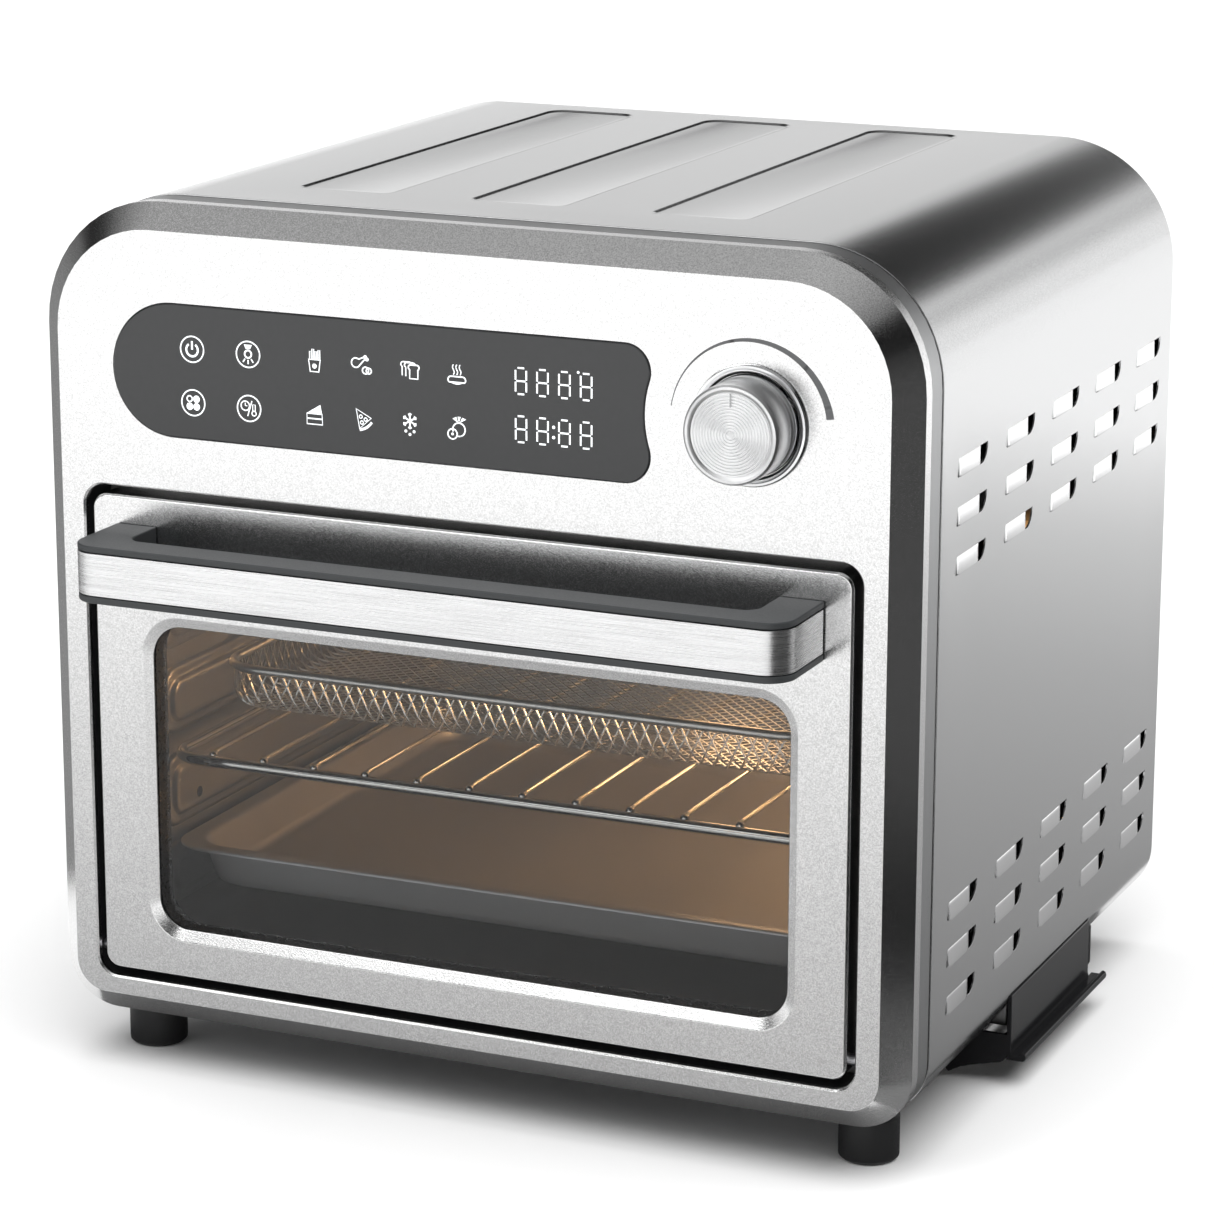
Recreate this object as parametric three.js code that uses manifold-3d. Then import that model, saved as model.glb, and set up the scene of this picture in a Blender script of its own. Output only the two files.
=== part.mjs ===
// Digital toaster oven with a drop-down glass door, sheet-steel housing and hot-air fan in the roof.
// Millimetres, +Z up, front towards -Y. While drawing, x = 0 is the middle of the front, y = 0 is the
// flat front face and z = 0 is the worktop; the last lines move the origin to the middle of the base.
import * as THREE from "three";
import { mergeVertices } from "three/addons/utils/BufferGeometryUtils.js";
import Module from "manifold-3d";

const wasm = await Module();
wasm.setup();

// ---- driving dimensions -------------------------------------------------------------------------
const gap = 0.3; // between pieces that touch
const sheet = 0.8; // pressed steel, with its coating

const body = { half: 170, bottom: 20, top: 329.7, front: 25.8, rear: 296.4, topR: 48, bottomR: 21 };
const face = { half: 160.7, bottom: 29.1, top: 320.4, topR: 38, bottomR: 12, bevel: 9, thick: 2.2 };
const recess = { half: 151.5, bottom: 36, top: 225.4, r: 8 };
const door = { half: 148.5, bottom: 39.3, top: 222.2, r: 6, depth: 14, skin: 2.5 };
const windowPane = { half: 125.4, bottom: 57.7, top: 174.1, r: 12, bevel: 3.5 };
const hinge = { y: 6, z: 46, pinR: 2 };
const handle = { half: 138, front: -36, r: 10, bottom: 190.6, top: 211.7, arm: 16.5, bar: 14 };
const strip = { bottom: 193.4, top: 209, thick: 1, end: -1 };
const display = { left: -113.3, middle: 270.2, r: 24.3, cornerR: 9.5 };
const knob = { x: 110, z: 270, r: 17.4, reach: 18, ringR: 21.3, scoopR: 39.1 };
const cavity = { half: 141, bottom: 48, top: 214.5, front: 19.5, rear: 268 };
const shelf = { tray: 79, rack: 115.6, basket: 149.5 };
const fan = { x: 0, y: 145, holeR: 88, panR: 98 };
const crumb = { front: 121, rear: 210, left: -135, right: 167.9, floor: 21.5, top: 32 };
const pull = { front: 118, rear: 213, out: 176 };
const louvre = { first: 42, pitch: 52.2, length: 31.5, height: 6.5, rise: 1, mouth: 3 };
const foot = { r: 11, x: 145.5, front: 33, rear: 258 };
const rearmost = 302;

// ---- making shapes ------------------------------------------------------------------------------
function solidOf(geometry) {
  const bare = geometry.clone();
  bare.deleteAttribute("normal");
  bare.deleteAttribute("uv");
  const merged = mergeVertices(bare, 1e-4);
  const vertProperties = merged.attributes.position.array;
  const triVerts = new Uint32Array(merged.index.array);
  return new wasm.Manifold(new wasm.Mesh({ numProp: 3, vertProperties, triVerts }));
}

function geometryOf(solid) {
  const mesh = solid.getMesh();
  const geometry = new THREE.BufferGeometry();
  geometry.setAttribute("position", new THREE.BufferAttribute(mesh.vertProperties, 3));
  geometry.setIndex(new THREE.BufferAttribute(mesh.triVerts, 1));
  geometry.computeVertexNormals();
  return geometry;
}

const join = (...pieces) => geometryOf(pieces.map(solidOf).reduce((all, piece) => all.add(piece)));
const cut = (piece, ...tools) =>
  geometryOf(tools.map(solidOf).reduce((left, tool) => left.subtract(tool), solidOf(piece)));

function block(x0, x1, y0, y1, z0, z1) {
  const box = new THREE.BoxGeometry(x1 - x0, y1 - y0, z1 - z0);
  return box.translate((x0 + x1) / 2, (y0 + y1) / 2, (z0 + z1) / 2);
}

// A closed outline of a rectangle with rounded corners.
function roundedRect(x0, x1, y0, y1, topR, bottomR = topR) {
  const shape = new THREE.Shape();
  shape.moveTo(x0 + bottomR, y0);
  shape.lineTo(x1 - bottomR, y0);
  shape.absarc(x1 - bottomR, y0 + bottomR, bottomR, -Math.PI / 2, 0);
  shape.lineTo(x1, y1 - topR);
  shape.absarc(x1 - topR, y1 - topR, topR, 0, Math.PI / 2);
  shape.lineTo(x0 + topR, y1);
  shape.absarc(x0 + topR, y1 - topR, topR, Math.PI / 2, Math.PI);
  shape.lineTo(x0, y0 + bottomR);
  shape.absarc(x0 + bottomR, y0 + bottomR, bottomR, Math.PI, 1.5 * Math.PI);
  return shape;
}

// An outline drawn in x and z, given depth from y0 to y1.
function slabY(shape, y0, y1, curveSegments = 3) {
  const slab = new THREE.ExtrudeGeometry(shape, { depth: y1 - y0, bevelEnabled: false, curveSegments });
  return slab.rotateX(Math.PI / 2).translate(0, y1, 0);
}

// An outline drawn in x and y, given height from z0 to z1.
function slabZ(shape, z0, z1, curveSegments = 3) {
  const slab = new THREE.ExtrudeGeometry(shape, { depth: z1 - z0, bevelEnabled: false, curveSegments });
  return slab.translate(0, 0, z0);
}

// A body of revolution: profile points are [radius, distance along the axis].
function turned(profile, axis, x, y, z, segments = 32) {
  const points = profile.map(([r, h]) => new THREE.Vector2(r, h));
  const lathe = new THREE.LatheGeometry(points, segments);
  const up = new THREE.Vector3(0, 1, 0);
  const turn = new THREE.Quaternion().setFromUnitVectors(up, new THREE.Vector3(...axis));
  return lathe.applyQuaternion(turn).translate(x, y, z);
}

// A ring profile for turned(), from inner to outer radius.
const ring = (inner, outer, h0, h1) => [
  [inner, h0], [outer, h0], [outer, h1], [inner, h1], [inner, h0],
];

function rod(r, from, to, sides = 10) {
  const a = new THREE.Vector3(...from);
  const b = new THREE.Vector3(...to);
  const along = b.clone().sub(a);
  const cylinder = new THREE.CylinderGeometry(r, r, along.length(), sides);
  const turn = new THREE.Quaternion().setFromUnitVectors(new THREE.Vector3(0, 1, 0), along.clone().normalize());
  const middle = a.add(b).multiplyScalar(0.5);
  return cylinder.applyQuaternion(turn).translate(middle.x, middle.y, middle.z);
}

function tube(path, r, steps, quarterSteps = 2) {
  const section = new THREE.Shape();
  section.absarc(0, 0, r, 0, 2 * Math.PI);
  return new THREE.ExtrudeGeometry(section, {
    extrudePath: path, steps, curveSegments: 2 * quarterSteps, bevelEnabled: false,
  });
}

// ---- scene graph --------------------------------------------------------------------------------
const oven = new THREE.Group();

const paint = (color, roughness, metalness = 0) =>
  new THREE.MeshStandardMaterial({ color, roughness, metalness });
const finish = {
  silver: () => paint(0xd6d7d8, 0.38, 0.85),
  steel: () => paint(0xb9bbbd, 0.34, 0.95),
  chrome: () => paint(0xe4e6e8, 0.08, 1),
  darkSteel: () => paint(0x3c3f42, 0.5, 0.8),
  liner: () => paint(0x8f8d89, 0.42, 0.85),
  enamel: () => paint(0x222426, 0.3, 0.1),
  blackPlastic: () => paint(0x17181a, 0.35),
  charcoal: () => paint(0x3f4546, 0.55),
  rubber: () => paint(0x1b1b1c, 0.85),
  silicone: () => paint(0x2b2c2e, 0.7),
  glass: () => paint(0x9fa6a8, 0.05),
  displayGlass: () => paint(0x3c3d3f, 0.12),
  aluminium: () => paint(0xc4c6c8, 0.45, 0.9),
  board: () => paint(0x1f5a34, 0.6),
  spring: () => paint(0x8c8f92, 0.35, 1),
};

function piece(name, geometry, material, parent = oven) {
  const mesh = new THREE.Mesh(geometry, material);
  mesh.name = name;
  parent.add(mesh);
  return mesh;
}

// ---- housing: one sheet bent over the top and down both sides, turned in under the edges -------
function housingWrap() {
  const outline = (inset) => roundedRect(
    -body.half + inset, body.half - inset, body.bottom + inset, body.top - inset,
    body.topR - inset, body.bottomR - inset,
  );
  const shell = cut(
    slabY(outline(0), body.front, body.rear, 6),
    slabY(outline(sheet), body.front - 1, body.rear + 1, 6),
    block(-149, 149, 0, 300, body.bottom - 1, body.bottom + 10),
    block(body.half - 30, body.half + 5, pull.front - 0.5, pull.rear + 0.5, body.bottom - 1, 36.2),
  );
  const sunk = 1.5;
  const panelY = { front: 57, rear: 283 };
  const dishes = [-73.3, -4.1, 66.6].map((x) => ({
    under: block(x - 19.9, x + 19.9, panelY.front - sheet, panelY.rear + sheet,
      body.top - sunk - sheet, body.top - sheet / 2),
    hollow: block(x - 18.7, x + 18.7, panelY.front, panelY.rear, body.top - sunk, body.top + 1),
  }));
  const vents = louvres();
  const pressed = join(shell, ...dishes.map((dish) => dish.under), ...vents.map((vent) => vent.hood));
  return cut(pressed, ...dishes.map((dish) => dish.hollow), ...vents.flatMap((vent) => vent.open));
}

// Two groups of three rows of five louvres in each side: a low hood whose mouth faces the rear.
function louvres() {
  const vents = [];
  const { length, height, rise, mouth } = louvre;
  const onSide = (side, x0, x1, ...rest) =>
    side > 0 ? block(x0, x1, ...rest) : block(-x1, -x0, ...rest);
  for (const side of [-1, 1]) {
    for (const top of [255.3, 238, 220.5, 95, 77.5, 59.7]) {
      for (let column = 0; column < 5; column++) {
        const y = louvre.first + column * louvre.pitch;
        const skin = body.half + rise;
        vents.push({
          hood: onSide(side, body.half - sheet / 2, skin, y, y + length - mouth, top - height, top),
          open: [
            onSide(side, body.half - 5, skin - sheet, y + sheet, y + length,
              top - height + sheet, top - sheet),
            onSide(side, body.half - 5, skin + 1, y + length - mouth, y + length,
              top - height + sheet, top - sheet),
          ],
        });
      }
    }
  }
  return vents;
}
piece("housing_wrap", housingWrap(), finish.steel());

// ---- front frame: flat face, mitred bevel all round, and a skirt that meets the housing ---------
function displayOutline(grow) {
  const top = display.middle + display.r + grow;
  const bottom = display.middle - display.r - grow;
  const cornerR = display.cornerR + grow;
  const scoopR = knob.scoopR - grow;
  const drop = top - cornerR - display.middle;
  const cornerX = knob.x - Math.sqrt((cornerR + scoopR) ** 2 - drop ** 2);
  const lean = Math.atan2(drop, knob.x - cornerX);
  const shape = new THREE.Shape();
  shape.moveTo(display.left, bottom);
  shape.lineTo(cornerX, bottom);
  shape.absarc(cornerX, bottom + cornerR, cornerR, -Math.PI / 2, lean);
  shape.absarc(knob.x, display.middle, scoopR, Math.PI + lean, Math.PI - lean, true);
  shape.absarc(cornerX, top - cornerR, cornerR, -lean, Math.PI / 2);
  shape.lineTo(display.left, top);
  shape.absarc(display.left, display.middle, display.r + grow, Math.PI / 2, 1.5 * Math.PI);
  return shape;
}

function frontFrame() {
  const flat = roundedRect(-face.half, face.half, face.bottom, face.top, face.topR, face.bottomR);
  const bevelled = new THREE.ExtrudeGeometry(flat, {
    depth: 30, bevelThickness: face.bevel, bevelSize: face.bevel, bevelSegments: 1, curveSegments: 5,
  });
  bevelled.rotateX(Math.PI / 2).translate(0, 30 + face.bevel, 0);
  const skirtEnd = body.front - gap;
  const shell = cut(
    bevelled,
    block(-200, 200, skirtEnd, 60, 0, 400),
    slabY(roundedRect(-157, 157, 32.5, 317, 34, 9), face.thick, 40),
    slabY(roundedRect(-166.3, 166.3, 23.5, 326, 44, 17), face.bevel + 2, 40),
  );
  const opening = (grow) => roundedRect(
    -recess.half - grow, recess.half + grow, recess.bottom - grow, recess.top + grow, recess.r + grow,
  );
  const lining = slabY(opening(sheet), face.thick - 0.2, cavity.front - gap);
  const pinHole = rod(hinge.pinR + 1, [-156, hinge.y, hinge.z], [156, hinge.y, hinge.z]);
  return cut(
    join(shell, lining),
    slabY(opening(0), -1, 40),
    slabY(displayOutline(gap), -1, 10),
    rod(4, [knob.x, -1, knob.z], [knob.x, 4, knob.z], 16),
    pinHole,
  );
}
piece("front_frame", frontFrame(), finish.silver());

// ---- control panel ------------------------------------------------------------------------------
piece("display_glass", slabY(displayOutline(0), -0.4, face.thick), finish.displayGlass());
piece("control_board", block(-132, 66, 5, 6.6, 250, 290), finish.board());

const knobAxis = [0, -1, 0];
const knobGroup = new THREE.Group();
oven.add(knobGroup);
const knobCap = join(
  turned(
    [[0, 10.2], [3.3, 10.2], [3.3, 1.2], [knob.r + 0.2, 1.2], [knob.r, knob.reach - 0.8],
      [knob.r - 0.8, knob.reach], [0, knob.reach]],
    knobAxis, knob.x, 0, knob.z, 28,
  ),
  block(knob.x - 0.8, knob.x + 0.8, -knob.reach - 0.5, -knob.reach + 0.2, knob.z + 9, knob.z + 15),
);
piece("knob_cap", knobCap, finish.chrome(), knobGroup);
piece("encoder_shaft", rod(3, [knob.x, -9.8, knob.z], [knob.x, 13.5, knob.z], 16),
  finish.aluminium(), knobGroup);
piece("knob_ring", turned(ring(18.4, knob.ringR, gap, 1.8), knobAxis, knob.x, 0, knob.z, 28),
  finish.chrome());
piece("encoder_body", cut(block(knob.x - 8, knob.x + 8, 5, 14, knob.z - 8, knob.z + 8),
  rod(3.4, [knob.x, 0, knob.z], [knob.x, 20, knob.z], 16)), finish.blackPlastic());

// ---- door ---------------------------------------------------------------------------------------
const doorGroup = new THREE.Group();
oven.add(doorGroup);

function paneOutline(grow, r = windowPane.r + grow) {
  return roundedRect(-windowPane.half - grow, windowPane.half + grow,
    windowPane.bottom - grow, windowPane.top + grow, r);
}

function doorFrame() {
  const outline = (inset) => roundedRect(-door.half + inset, door.half - inset,
    door.bottom + inset, door.top - inset, door.r - inset / 2);
  const slope = new THREE.ExtrudeGeometry(paneOutline(0), {
    depth: 10, bevelThickness: door.skin, bevelSize: windowPane.bevel, bevelSegments: 1, curveSegments: 3,
  });
  // The bevel's wide end meets the door's face, and its narrow end meets the glass.
  slope.rotateX(Math.PI / 2);
  return cut(
    slabY(outline(0), 0, door.depth),
    slabY(outline(3), door.skin, door.depth + 1),
    slabY(paneOutline(0), -1, door.depth),
    slope.translate(0, door.skin, 0),
    rod(hinge.pinR + 0.3, [-156, hinge.y, hinge.z], [156, hinge.y, hinge.z]),
    ...[-1, 1].map((side) => rod(2.4, [side * 129.8, -5, 201], [side * 129.8, 5, 201])),
  );
}
piece("door_frame", doorFrame(), finish.silver(), doorGroup);
piece("door_glass", slabY(roundedRect(-134, 134, 51, 183, 6), door.skin + gap, door.skin + gap + 3),
  finish.glass(), doorGroup);

function doorInnerFrame() {
  const glassBack = door.skin + 3 + 2 * gap;
  const back = slabY(roundedRect(-145, 145, 42.8, 218.7, 4), 12, door.depth);
  const lip = slabY(roundedRect(-134, 134, 51, 183, 6), glassBack, 12.5);
  return cut(join(back, lip), slabY(paneOutline(1.5), 0, 20));
}
piece("door_inner_frame", doorInnerFrame(), finish.darkSteel(), doorGroup);

piece("door_gasket", cut(
  slabY(roundedRect(-147, 147, 43.5, 218.5, 8), door.depth + gap, 18.8),
  slabY(roundedRect(-143, 143, 47.5, 214.5, 6), 10, 30),
), finish.silicone(), doorGroup);

// A C-shaped outline open towards the door: two arms and a bar with rounded front corners.
function loopOutline({ half, front, back, r, arm, bar, innerR }) {
  const shape = new THREE.Shape();
  shape.moveTo(-half, back);
  shape.lineTo(-half, front + r);
  shape.absarc(-half + r, front + r, r, Math.PI, 1.5 * Math.PI);
  shape.lineTo(half - r, front);
  shape.absarc(half - r, front + r, r, -Math.PI / 2, 0);
  shape.lineTo(half, back);
  shape.lineTo(half - arm, back);
  shape.lineTo(half - arm, front + bar + innerR);
  shape.absarc(half - arm - innerR, front + bar + innerR, innerR, 0, -Math.PI / 2, true);
  shape.lineTo(-half + arm + innerR, front + bar);
  shape.absarc(-half + arm + innerR, front + bar + innerR, innerR, -Math.PI / 2, -Math.PI, true);
  shape.lineTo(-half + arm, back);
  return shape;
}

function handleBar() {
  const outer = { half: handle.half, front: handle.front, back: -gap, r: handle.r };
  const bar = slabZ(loopOutline({ ...outer, arm: handle.arm, bar: handle.bar, innerR: 6 }),
    handle.bottom, handle.top);
  const room = strip.thick + gap;
  const channel = slabZ(loopOutline({
    half: handle.half + 1, front: handle.front - 1, back: strip.end + gap, r: handle.r + 1,
    arm: room + 1, bar: room + 1, innerR: handle.r - room,
  }), strip.bottom - gap, strip.top + gap);
  return cut(bar, channel,
    ...[-1, 1].map((side) => rod(2.4, [side * 129.8, -12, 201], [side * 129.8, 5, 201])));
}
piece("handle_bar", handleBar(), finish.charcoal(), doorGroup);
piece("handle_strip", slabZ(loopOutline({
  half: handle.half, front: handle.front, back: strip.end, r: handle.r,
  arm: strip.thick, bar: strip.thick, innerR: handle.r - strip.thick,
}), strip.bottom, strip.top), finish.steel(), doorGroup);

class Coil extends THREE.Curve {
  constructor(from, length, r, turns) {
    super();
    Object.assign(this, { from, length, r, turns });
  }
  getPoint(t, target = new THREE.Vector3()) {
    const angle = 2 * Math.PI * this.turns * t;
    return target.set(this.from[0] + this.length * t,
      this.from[1] + this.r * Math.cos(angle), this.from[2] + this.r * Math.sin(angle));
  }
}

for (const [side, name] of [[-1, "left"], [1, "right"]]) {
  const handX = side * 129.8;
  piece("handle_screw_" + name, turned(
    [[0, -4.6], [3.8, -4.6], [3.8, -3], [2, -3], [2, 11], [0, 11]], knobAxis, handX, 0, 201, 12,
  ), finish.steel(), doorGroup);
  const springStart = side < 0 ? -143 : 122;
  piece("door_spring_" + name,
    tube(new Coil([springStart, hinge.y, hinge.z], 21, 2.8, 5), 0.4, 40, 1), finish.spring(), doorGroup);
  piece("hinge_pin_" + name,
    rod(hinge.pinR, [side * 120, hinge.y, hinge.z], [side * 156.5, hinge.y, hinge.z], 16), finish.steel());
  const inner = side < 0 ? -155.1 : 153.1;
  piece("hinge_bracket_" + name, cut(block(inner, inner + 2, 3, cavity.front - gap, 38, 62),
    rod(hinge.pinR + gap, [side * 150, hinge.y, hinge.z], [side * 160, hinge.y, hinge.z], 16)),
  finish.darkSteel());
}

// ---- cavity -------------------------------------------------------------------------------------
function cavityLiner() {
  const wall = sheet;
  const shell = block(-cavity.half - wall, cavity.half + wall, cavity.front, cavity.rear + wall,
    cavity.bottom - wall, cavity.top + wall);
  const flange = slabY(roundedRect(-158, 158, 33, 228, 6), cavity.front, cavity.front + wall);
  const room = block(-cavity.half, cavity.half, cavity.front - 1, cavity.rear, cavity.bottom, cavity.top);
  // Pressed side panels stand into the cavity, and the channels between them carry the shelves.
  const levels = [[53, shelf.tray - 1.5], [shelf.tray + 4, shelf.rack - 3.3],
    [shelf.rack + 4.5, shelf.basket - 3], [shelf.basket + 3.5, 209]];
  const inner = cavity.half - 3.5;
  const panels = levels.flatMap(([low, high]) => [
    block(-cavity.half - wall / 2, -inner, 32, 258, low, high),
    block(inner, cavity.half + wall / 2, 32, 258, low, high),
  ]);
  const backs = levels.flatMap(([low, high]) => [
    block(-cavity.half - 5, -inner - wall, 32 + wall, 258 - wall, low + wall, high - wall),
    block(inner + wall, cavity.half + 5, 32 + wall, 258 - wall, low + wall, high - wall),
  ]);
  return cut(
    join(cut(join(shell, flange), room), ...panels),
    ...backs,
    rod(fan.holeR, [fan.x, fan.y, 200], [fan.x, fan.y, 230], 28),
    block(-130, 130, 124, 207, cavity.bottom - 5, cavity.bottom + 2),
    rod(14, [130, 225, 183], [150, 225, 183], 20),
    rod(2.4, [-60, 260, 195], [-60, 275, 195]),
  );
}
piece("cavity_liner", cavityLiner(), finish.liner());

// Shallow frying basket: walls and floor of expanded mesh inside a wire rim, with four side ears.
function meshBasket() {
  const half = 120;
  const front = 40;
  const rear = 250;
  const low = shelf.basket - 17;
  const pan = cut(
    slabZ(roundedRect(-half, half, front, rear, 16), low, shelf.basket + 2),
    slabZ(roundedRect(-half + 1.4, half - 1.4, front + 1.4, rear - 1.4, 14.6), low + 1.4, 200),
  );
  const rim = cut(
    slabZ(roundedRect(-half - 1.8, half + 1.8, front - 1.8, rear + 1.8, 17.8),
      shelf.basket - 2, shelf.basket + 2),
    slabZ(roundedRect(-half + 1, half - 1, front + 1, rear - 1, 15), 100, 200),
  );
  const ears = [95, 195].flatMap((y) => [-1, 1].map((side) =>
    rod(1.8, [side * (half + 0.5), y, shelf.basket], [side * (cavity.half - 1), y, shelf.basket], 8)));
  return join(pan, rim, ...ears);
}

// Wire shelf: a heavy rod all round with lighter wires from front to back.
function wireRack() {
  const half = 137;
  const front = 26;
  const rear = 256;
  const thick = 4.6;
  const pitch = 21.3;
  const frame = cut(
    slabZ(roundedRect(-half, half, front, rear, 14), shelf.rack - thick / 2, shelf.rack + thick / 2),
    slabZ(roundedRect(-half + thick, half - thick, front + thick, rear - thick, 9.4), 90, 140),
  );
  const wires = [];
  for (let x = -5.5 * pitch; x < 5.6 * pitch; x += pitch) {
    wires.push(rod(1.4, [x, front + 2, shelf.rack + 2], [x, rear - 2, shelf.rack + 2], 4));
  }
  return join(frame, ...wires);
}

// Enamelled tray: sloping walls under a flat rim.
function bakingTray() {
  const rim = slabZ(roundedRect(-139, 139, 30, 262, 16), shelf.tray - 0.7, shelf.tray + 0.7);
  const low = shelf.tray - 17;
  return cut(
    join(rim, slabZ(roundedRect(-131, 131, 37, 255, 14), low, shelf.tray)),
    slabZ(roundedRect(-129.8, 129.8, 38.2, 253.8, 12.8), low + 1.2, 200),
  );
}
piece("mesh_basket", meshBasket(), finish.steel());
piece("wire_rack", wireRack(), finish.chrome());
piece("baking_tray", bakingTray(), finish.enamel());

// ---- crumb tray: slides out of the right side above the base plate ------------------------------
function crumbTray() {
  const { left, right, front, rear, floor, top } = crumb;
  return cut(
    block(left, right, front, rear, floor, top),
    block(left + sheet, right - sheet, front + sheet, rear - sheet, floor + sheet, top + 5),
  );
}

function crumbTrayPull() {
  const plate = block(crumb.right + gap, body.half, pull.front, pull.rear, 15.5, 35.7);
  const lip = block(body.half - 1, pull.out, pull.front, pull.rear + 6, 10, 13.5);
  const lipRoot = block(crumb.right + gap, body.half + 1.5, pull.front, pull.rear, 10, 17);
  const belly = new THREE.Shape();
  belly.moveTo(145.4, 1.7);
  belly.lineTo(155.2, 5.9);
  belly.lineTo(165.7, 7.8);
  belly.lineTo(169.3, 13.1);
  belly.lineTo(169.3, 19.6);
  belly.lineTo(145.4, 19.6);
  const grip = slabY(belly, pull.front, pull.rear);
  const hollow = block(149, 166, pull.front + 3, pull.rear - 3, 10, 30);
  return join(plate, lip, lipRoot, cut(grip, hollow));
}
piece("crumb_tray", crumbTray(), finish.steel());
piece("crumb_tray_pull", crumbTrayPull(), finish.blackPlastic());

// ---- heater and fan in the roof -----------------------------------------------------------------
const up = [0, 0, 1];
const terminals = [-8, 8].map((x) => [x, fan.y + 74]);
piece("fan_pan", cut(
  turned([[96.8, 0], [108, 0], [108, 1.2], [fan.panR, 1.2], [fan.panR, 39], [6, 39], [6, 37.8],
    [96.8, 37.8], [96.8, 0]], up, fan.x, fan.y, cavity.top + sheet + gap, 32),
  ...terminals.map(([x, y]) => rod(4.4, [x, y, 240], [x, y, 260])),
), finish.aluminium());

function heatingElement() {
  const points = [];
  const loopR = 74;
  const height = 224;
  points.push(new THREE.Vector3(terminals[1][0], terminals[1][1], 262));
  points.push(new THREE.Vector3(terminals[1][0], terminals[1][1], 240));
  for (let step = 0; step <= 22; step++) {
    const angle = Math.PI / 2 - 0.25 - (step / 22) * (2 * Math.PI - 0.5);
    points.push(new THREE.Vector3(fan.x + loopR * Math.cos(angle), fan.y + loopR * Math.sin(angle), height));
  }
  points.push(new THREE.Vector3(terminals[0][0], terminals[0][1], 240));
  points.push(new THREE.Vector3(terminals[0][0], terminals[0][1], 262));
  return tube(new THREE.CatmullRomCurve3(points, false, "centripetal"), 3.2, 46);
}
piece("heating_element", heatingElement(), finish.darkSteel());

function elementGuard() {
  const wireR = 1.3;
  const rings = [45, 88].map((r) => {
    const circle = ring(r - wireR, r + wireR, -wireR, wireR);
    return turned(circle, up, fan.x, fan.y, 210.5, 24);
  });
  const spokes = [0, 1, 2].map((turn) => {
    const angle = (turn * Math.PI) / 3;
    const dx = 89 * Math.cos(angle);
    const dy = 89 * Math.sin(angle);
    return rod(1.2, [fan.x - dx, fan.y - dy, 212], [fan.x + dx, fan.y + dy, 212], 6);
  });
  return join(...rings, ...spokes);
}
piece("element_guard", elementGuard(), finish.chrome());

function impeller(r, bladeCount, low, high) {
  const hub = turned(ring(4.4, 9, low, high), up, fan.x, fan.y, 0, 12);
  const disc = turned(ring(8, r - 4, low, low + 1.2), up, fan.x, fan.y, 0, 20);
  const blades = [];
  for (let count = 0; count < bladeCount; count++) {
    const blade = block(12, r, -0.7, 0.7, low + 0.6, high);
    blade.rotateZ((2 * Math.PI * count) / bladeCount).translate(fan.x, fan.y, 0);
    blades.push(blade);
  }
  return join(hub, disc, ...blades);
}
const rotor = new THREE.Group();
oven.add(rotor);
piece("hot_air_fan", impeller(60, 10, 232, 248), finish.aluminium(), rotor);
piece("cooling_fan", impeller(44, 8, 296, 308), finish.blackPlastic(), rotor);
piece("motor_shaft", rod(4, [fan.x, fan.y, 229], [fan.x, fan.y, 311], 12), finish.steel(), rotor);

piece("motor_bracket", cut(block(-75, 75, fan.y - 35, fan.y + 35, 256, 258),
  rod(8, [fan.x, fan.y, 250], [fan.x, fan.y, 262], 20)), finish.darkSteel());
piece("fan_motor", turned(ring(4.6, 32, 258 + gap, 290), up, fan.x, fan.y, 0, 20), finish.darkSteel());

// ---- lamp, probe, board and switch --------------------------------------------------------------
const sideways = [1, 0, 0];
piece("lamp_cover", turned([[0, 137.8], [13.6, 137.8], [13.6, 142.5], [17, 142.5], [17, 144], [0, 144]],
  sideways, 0, 225, 183, 20), finish.glass());
piece("lamp_bulb", turned([[0, 146], [4, 147], [6, 150], [6, 158], [4.5, 164], [0, 164]],
  sideways, 0, 225, 183, 16), finish.glass());
piece("temperature_probe", turned([[0, -28], [2, -27], [2, 1.5], [6, 1.5], [6, 7], [0, 7]],
  [0, 1, 0], -60, cavity.rear, 195, 12), finish.steel());
piece("power_board", block(154, 155.6, 70, 195, 75, 170), finish.board());
piece("door_switch", block(-156, -145, 21.5, 33, 196, 214), finish.blackPlastic());

// ---- base, back and feet ------------------------------------------------------------------------
piece("base_plate", block(-148.5, 148.5, 27, 293, body.bottom, body.bottom + sheet), finish.darkSteel());

const gland = { x: 118, z: 62, r: 7 };
const backY = 293.8;
const screwPlaces = [[-150, 60], [150, 60], [-150, 280], [150, 280]];
function rearCover() {
  const outline = roundedRect(-168.4, 168.4, 21.7, 328.1 - 2.4, 46, 19);
  const slots = [];
  for (let row = 0; row < 8; row++) {
    const z = 236 + row * 9;
    slots.push(block(-70, -6, backY - 5, backY + 5, z, z + 4));
    slots.push(block(6, 70, backY - 5, backY + 5, z, z + 4));
  }
  const screwHoles = screwPlaces.map(([x, z]) => rod(1.9, [x, backY - 5, z], [x, backY + 5, z], 8));
  return cut(slabY(outline, backY, backY + sheet), ...slots, ...screwHoles,
    rod(gland.r + gap, [gland.x, backY - 5, gland.z], [gland.x, backY + 5, gland.z], 20));
}
piece("rear_cover", rearCover(), finish.darkSteel());
piece("cord_gland", turned([[3.6, -5], [gland.r, -5], [gland.r, 1.5], [10.5, 1.5], [10.5, 4.5],
  [8.5, 7], [3.6, 7], [3.6, -5]], [0, 1, 0], gland.x, rearmost - 7, gland.z, 20), finish.rubber());
screwPlaces.forEach(([x, z], index) => {
  piece("rear_screw_" + (index + 1), turned(
    [[0, -6], [1.5, -6], [1.5, sheet + gap], [3.4, sheet + gap], [3.4, 2.6], [2.2, 3.6], [0, 3.6]],
    [0, 1, 0], x, backY, z, 12,
  ), finish.steel());
});
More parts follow.
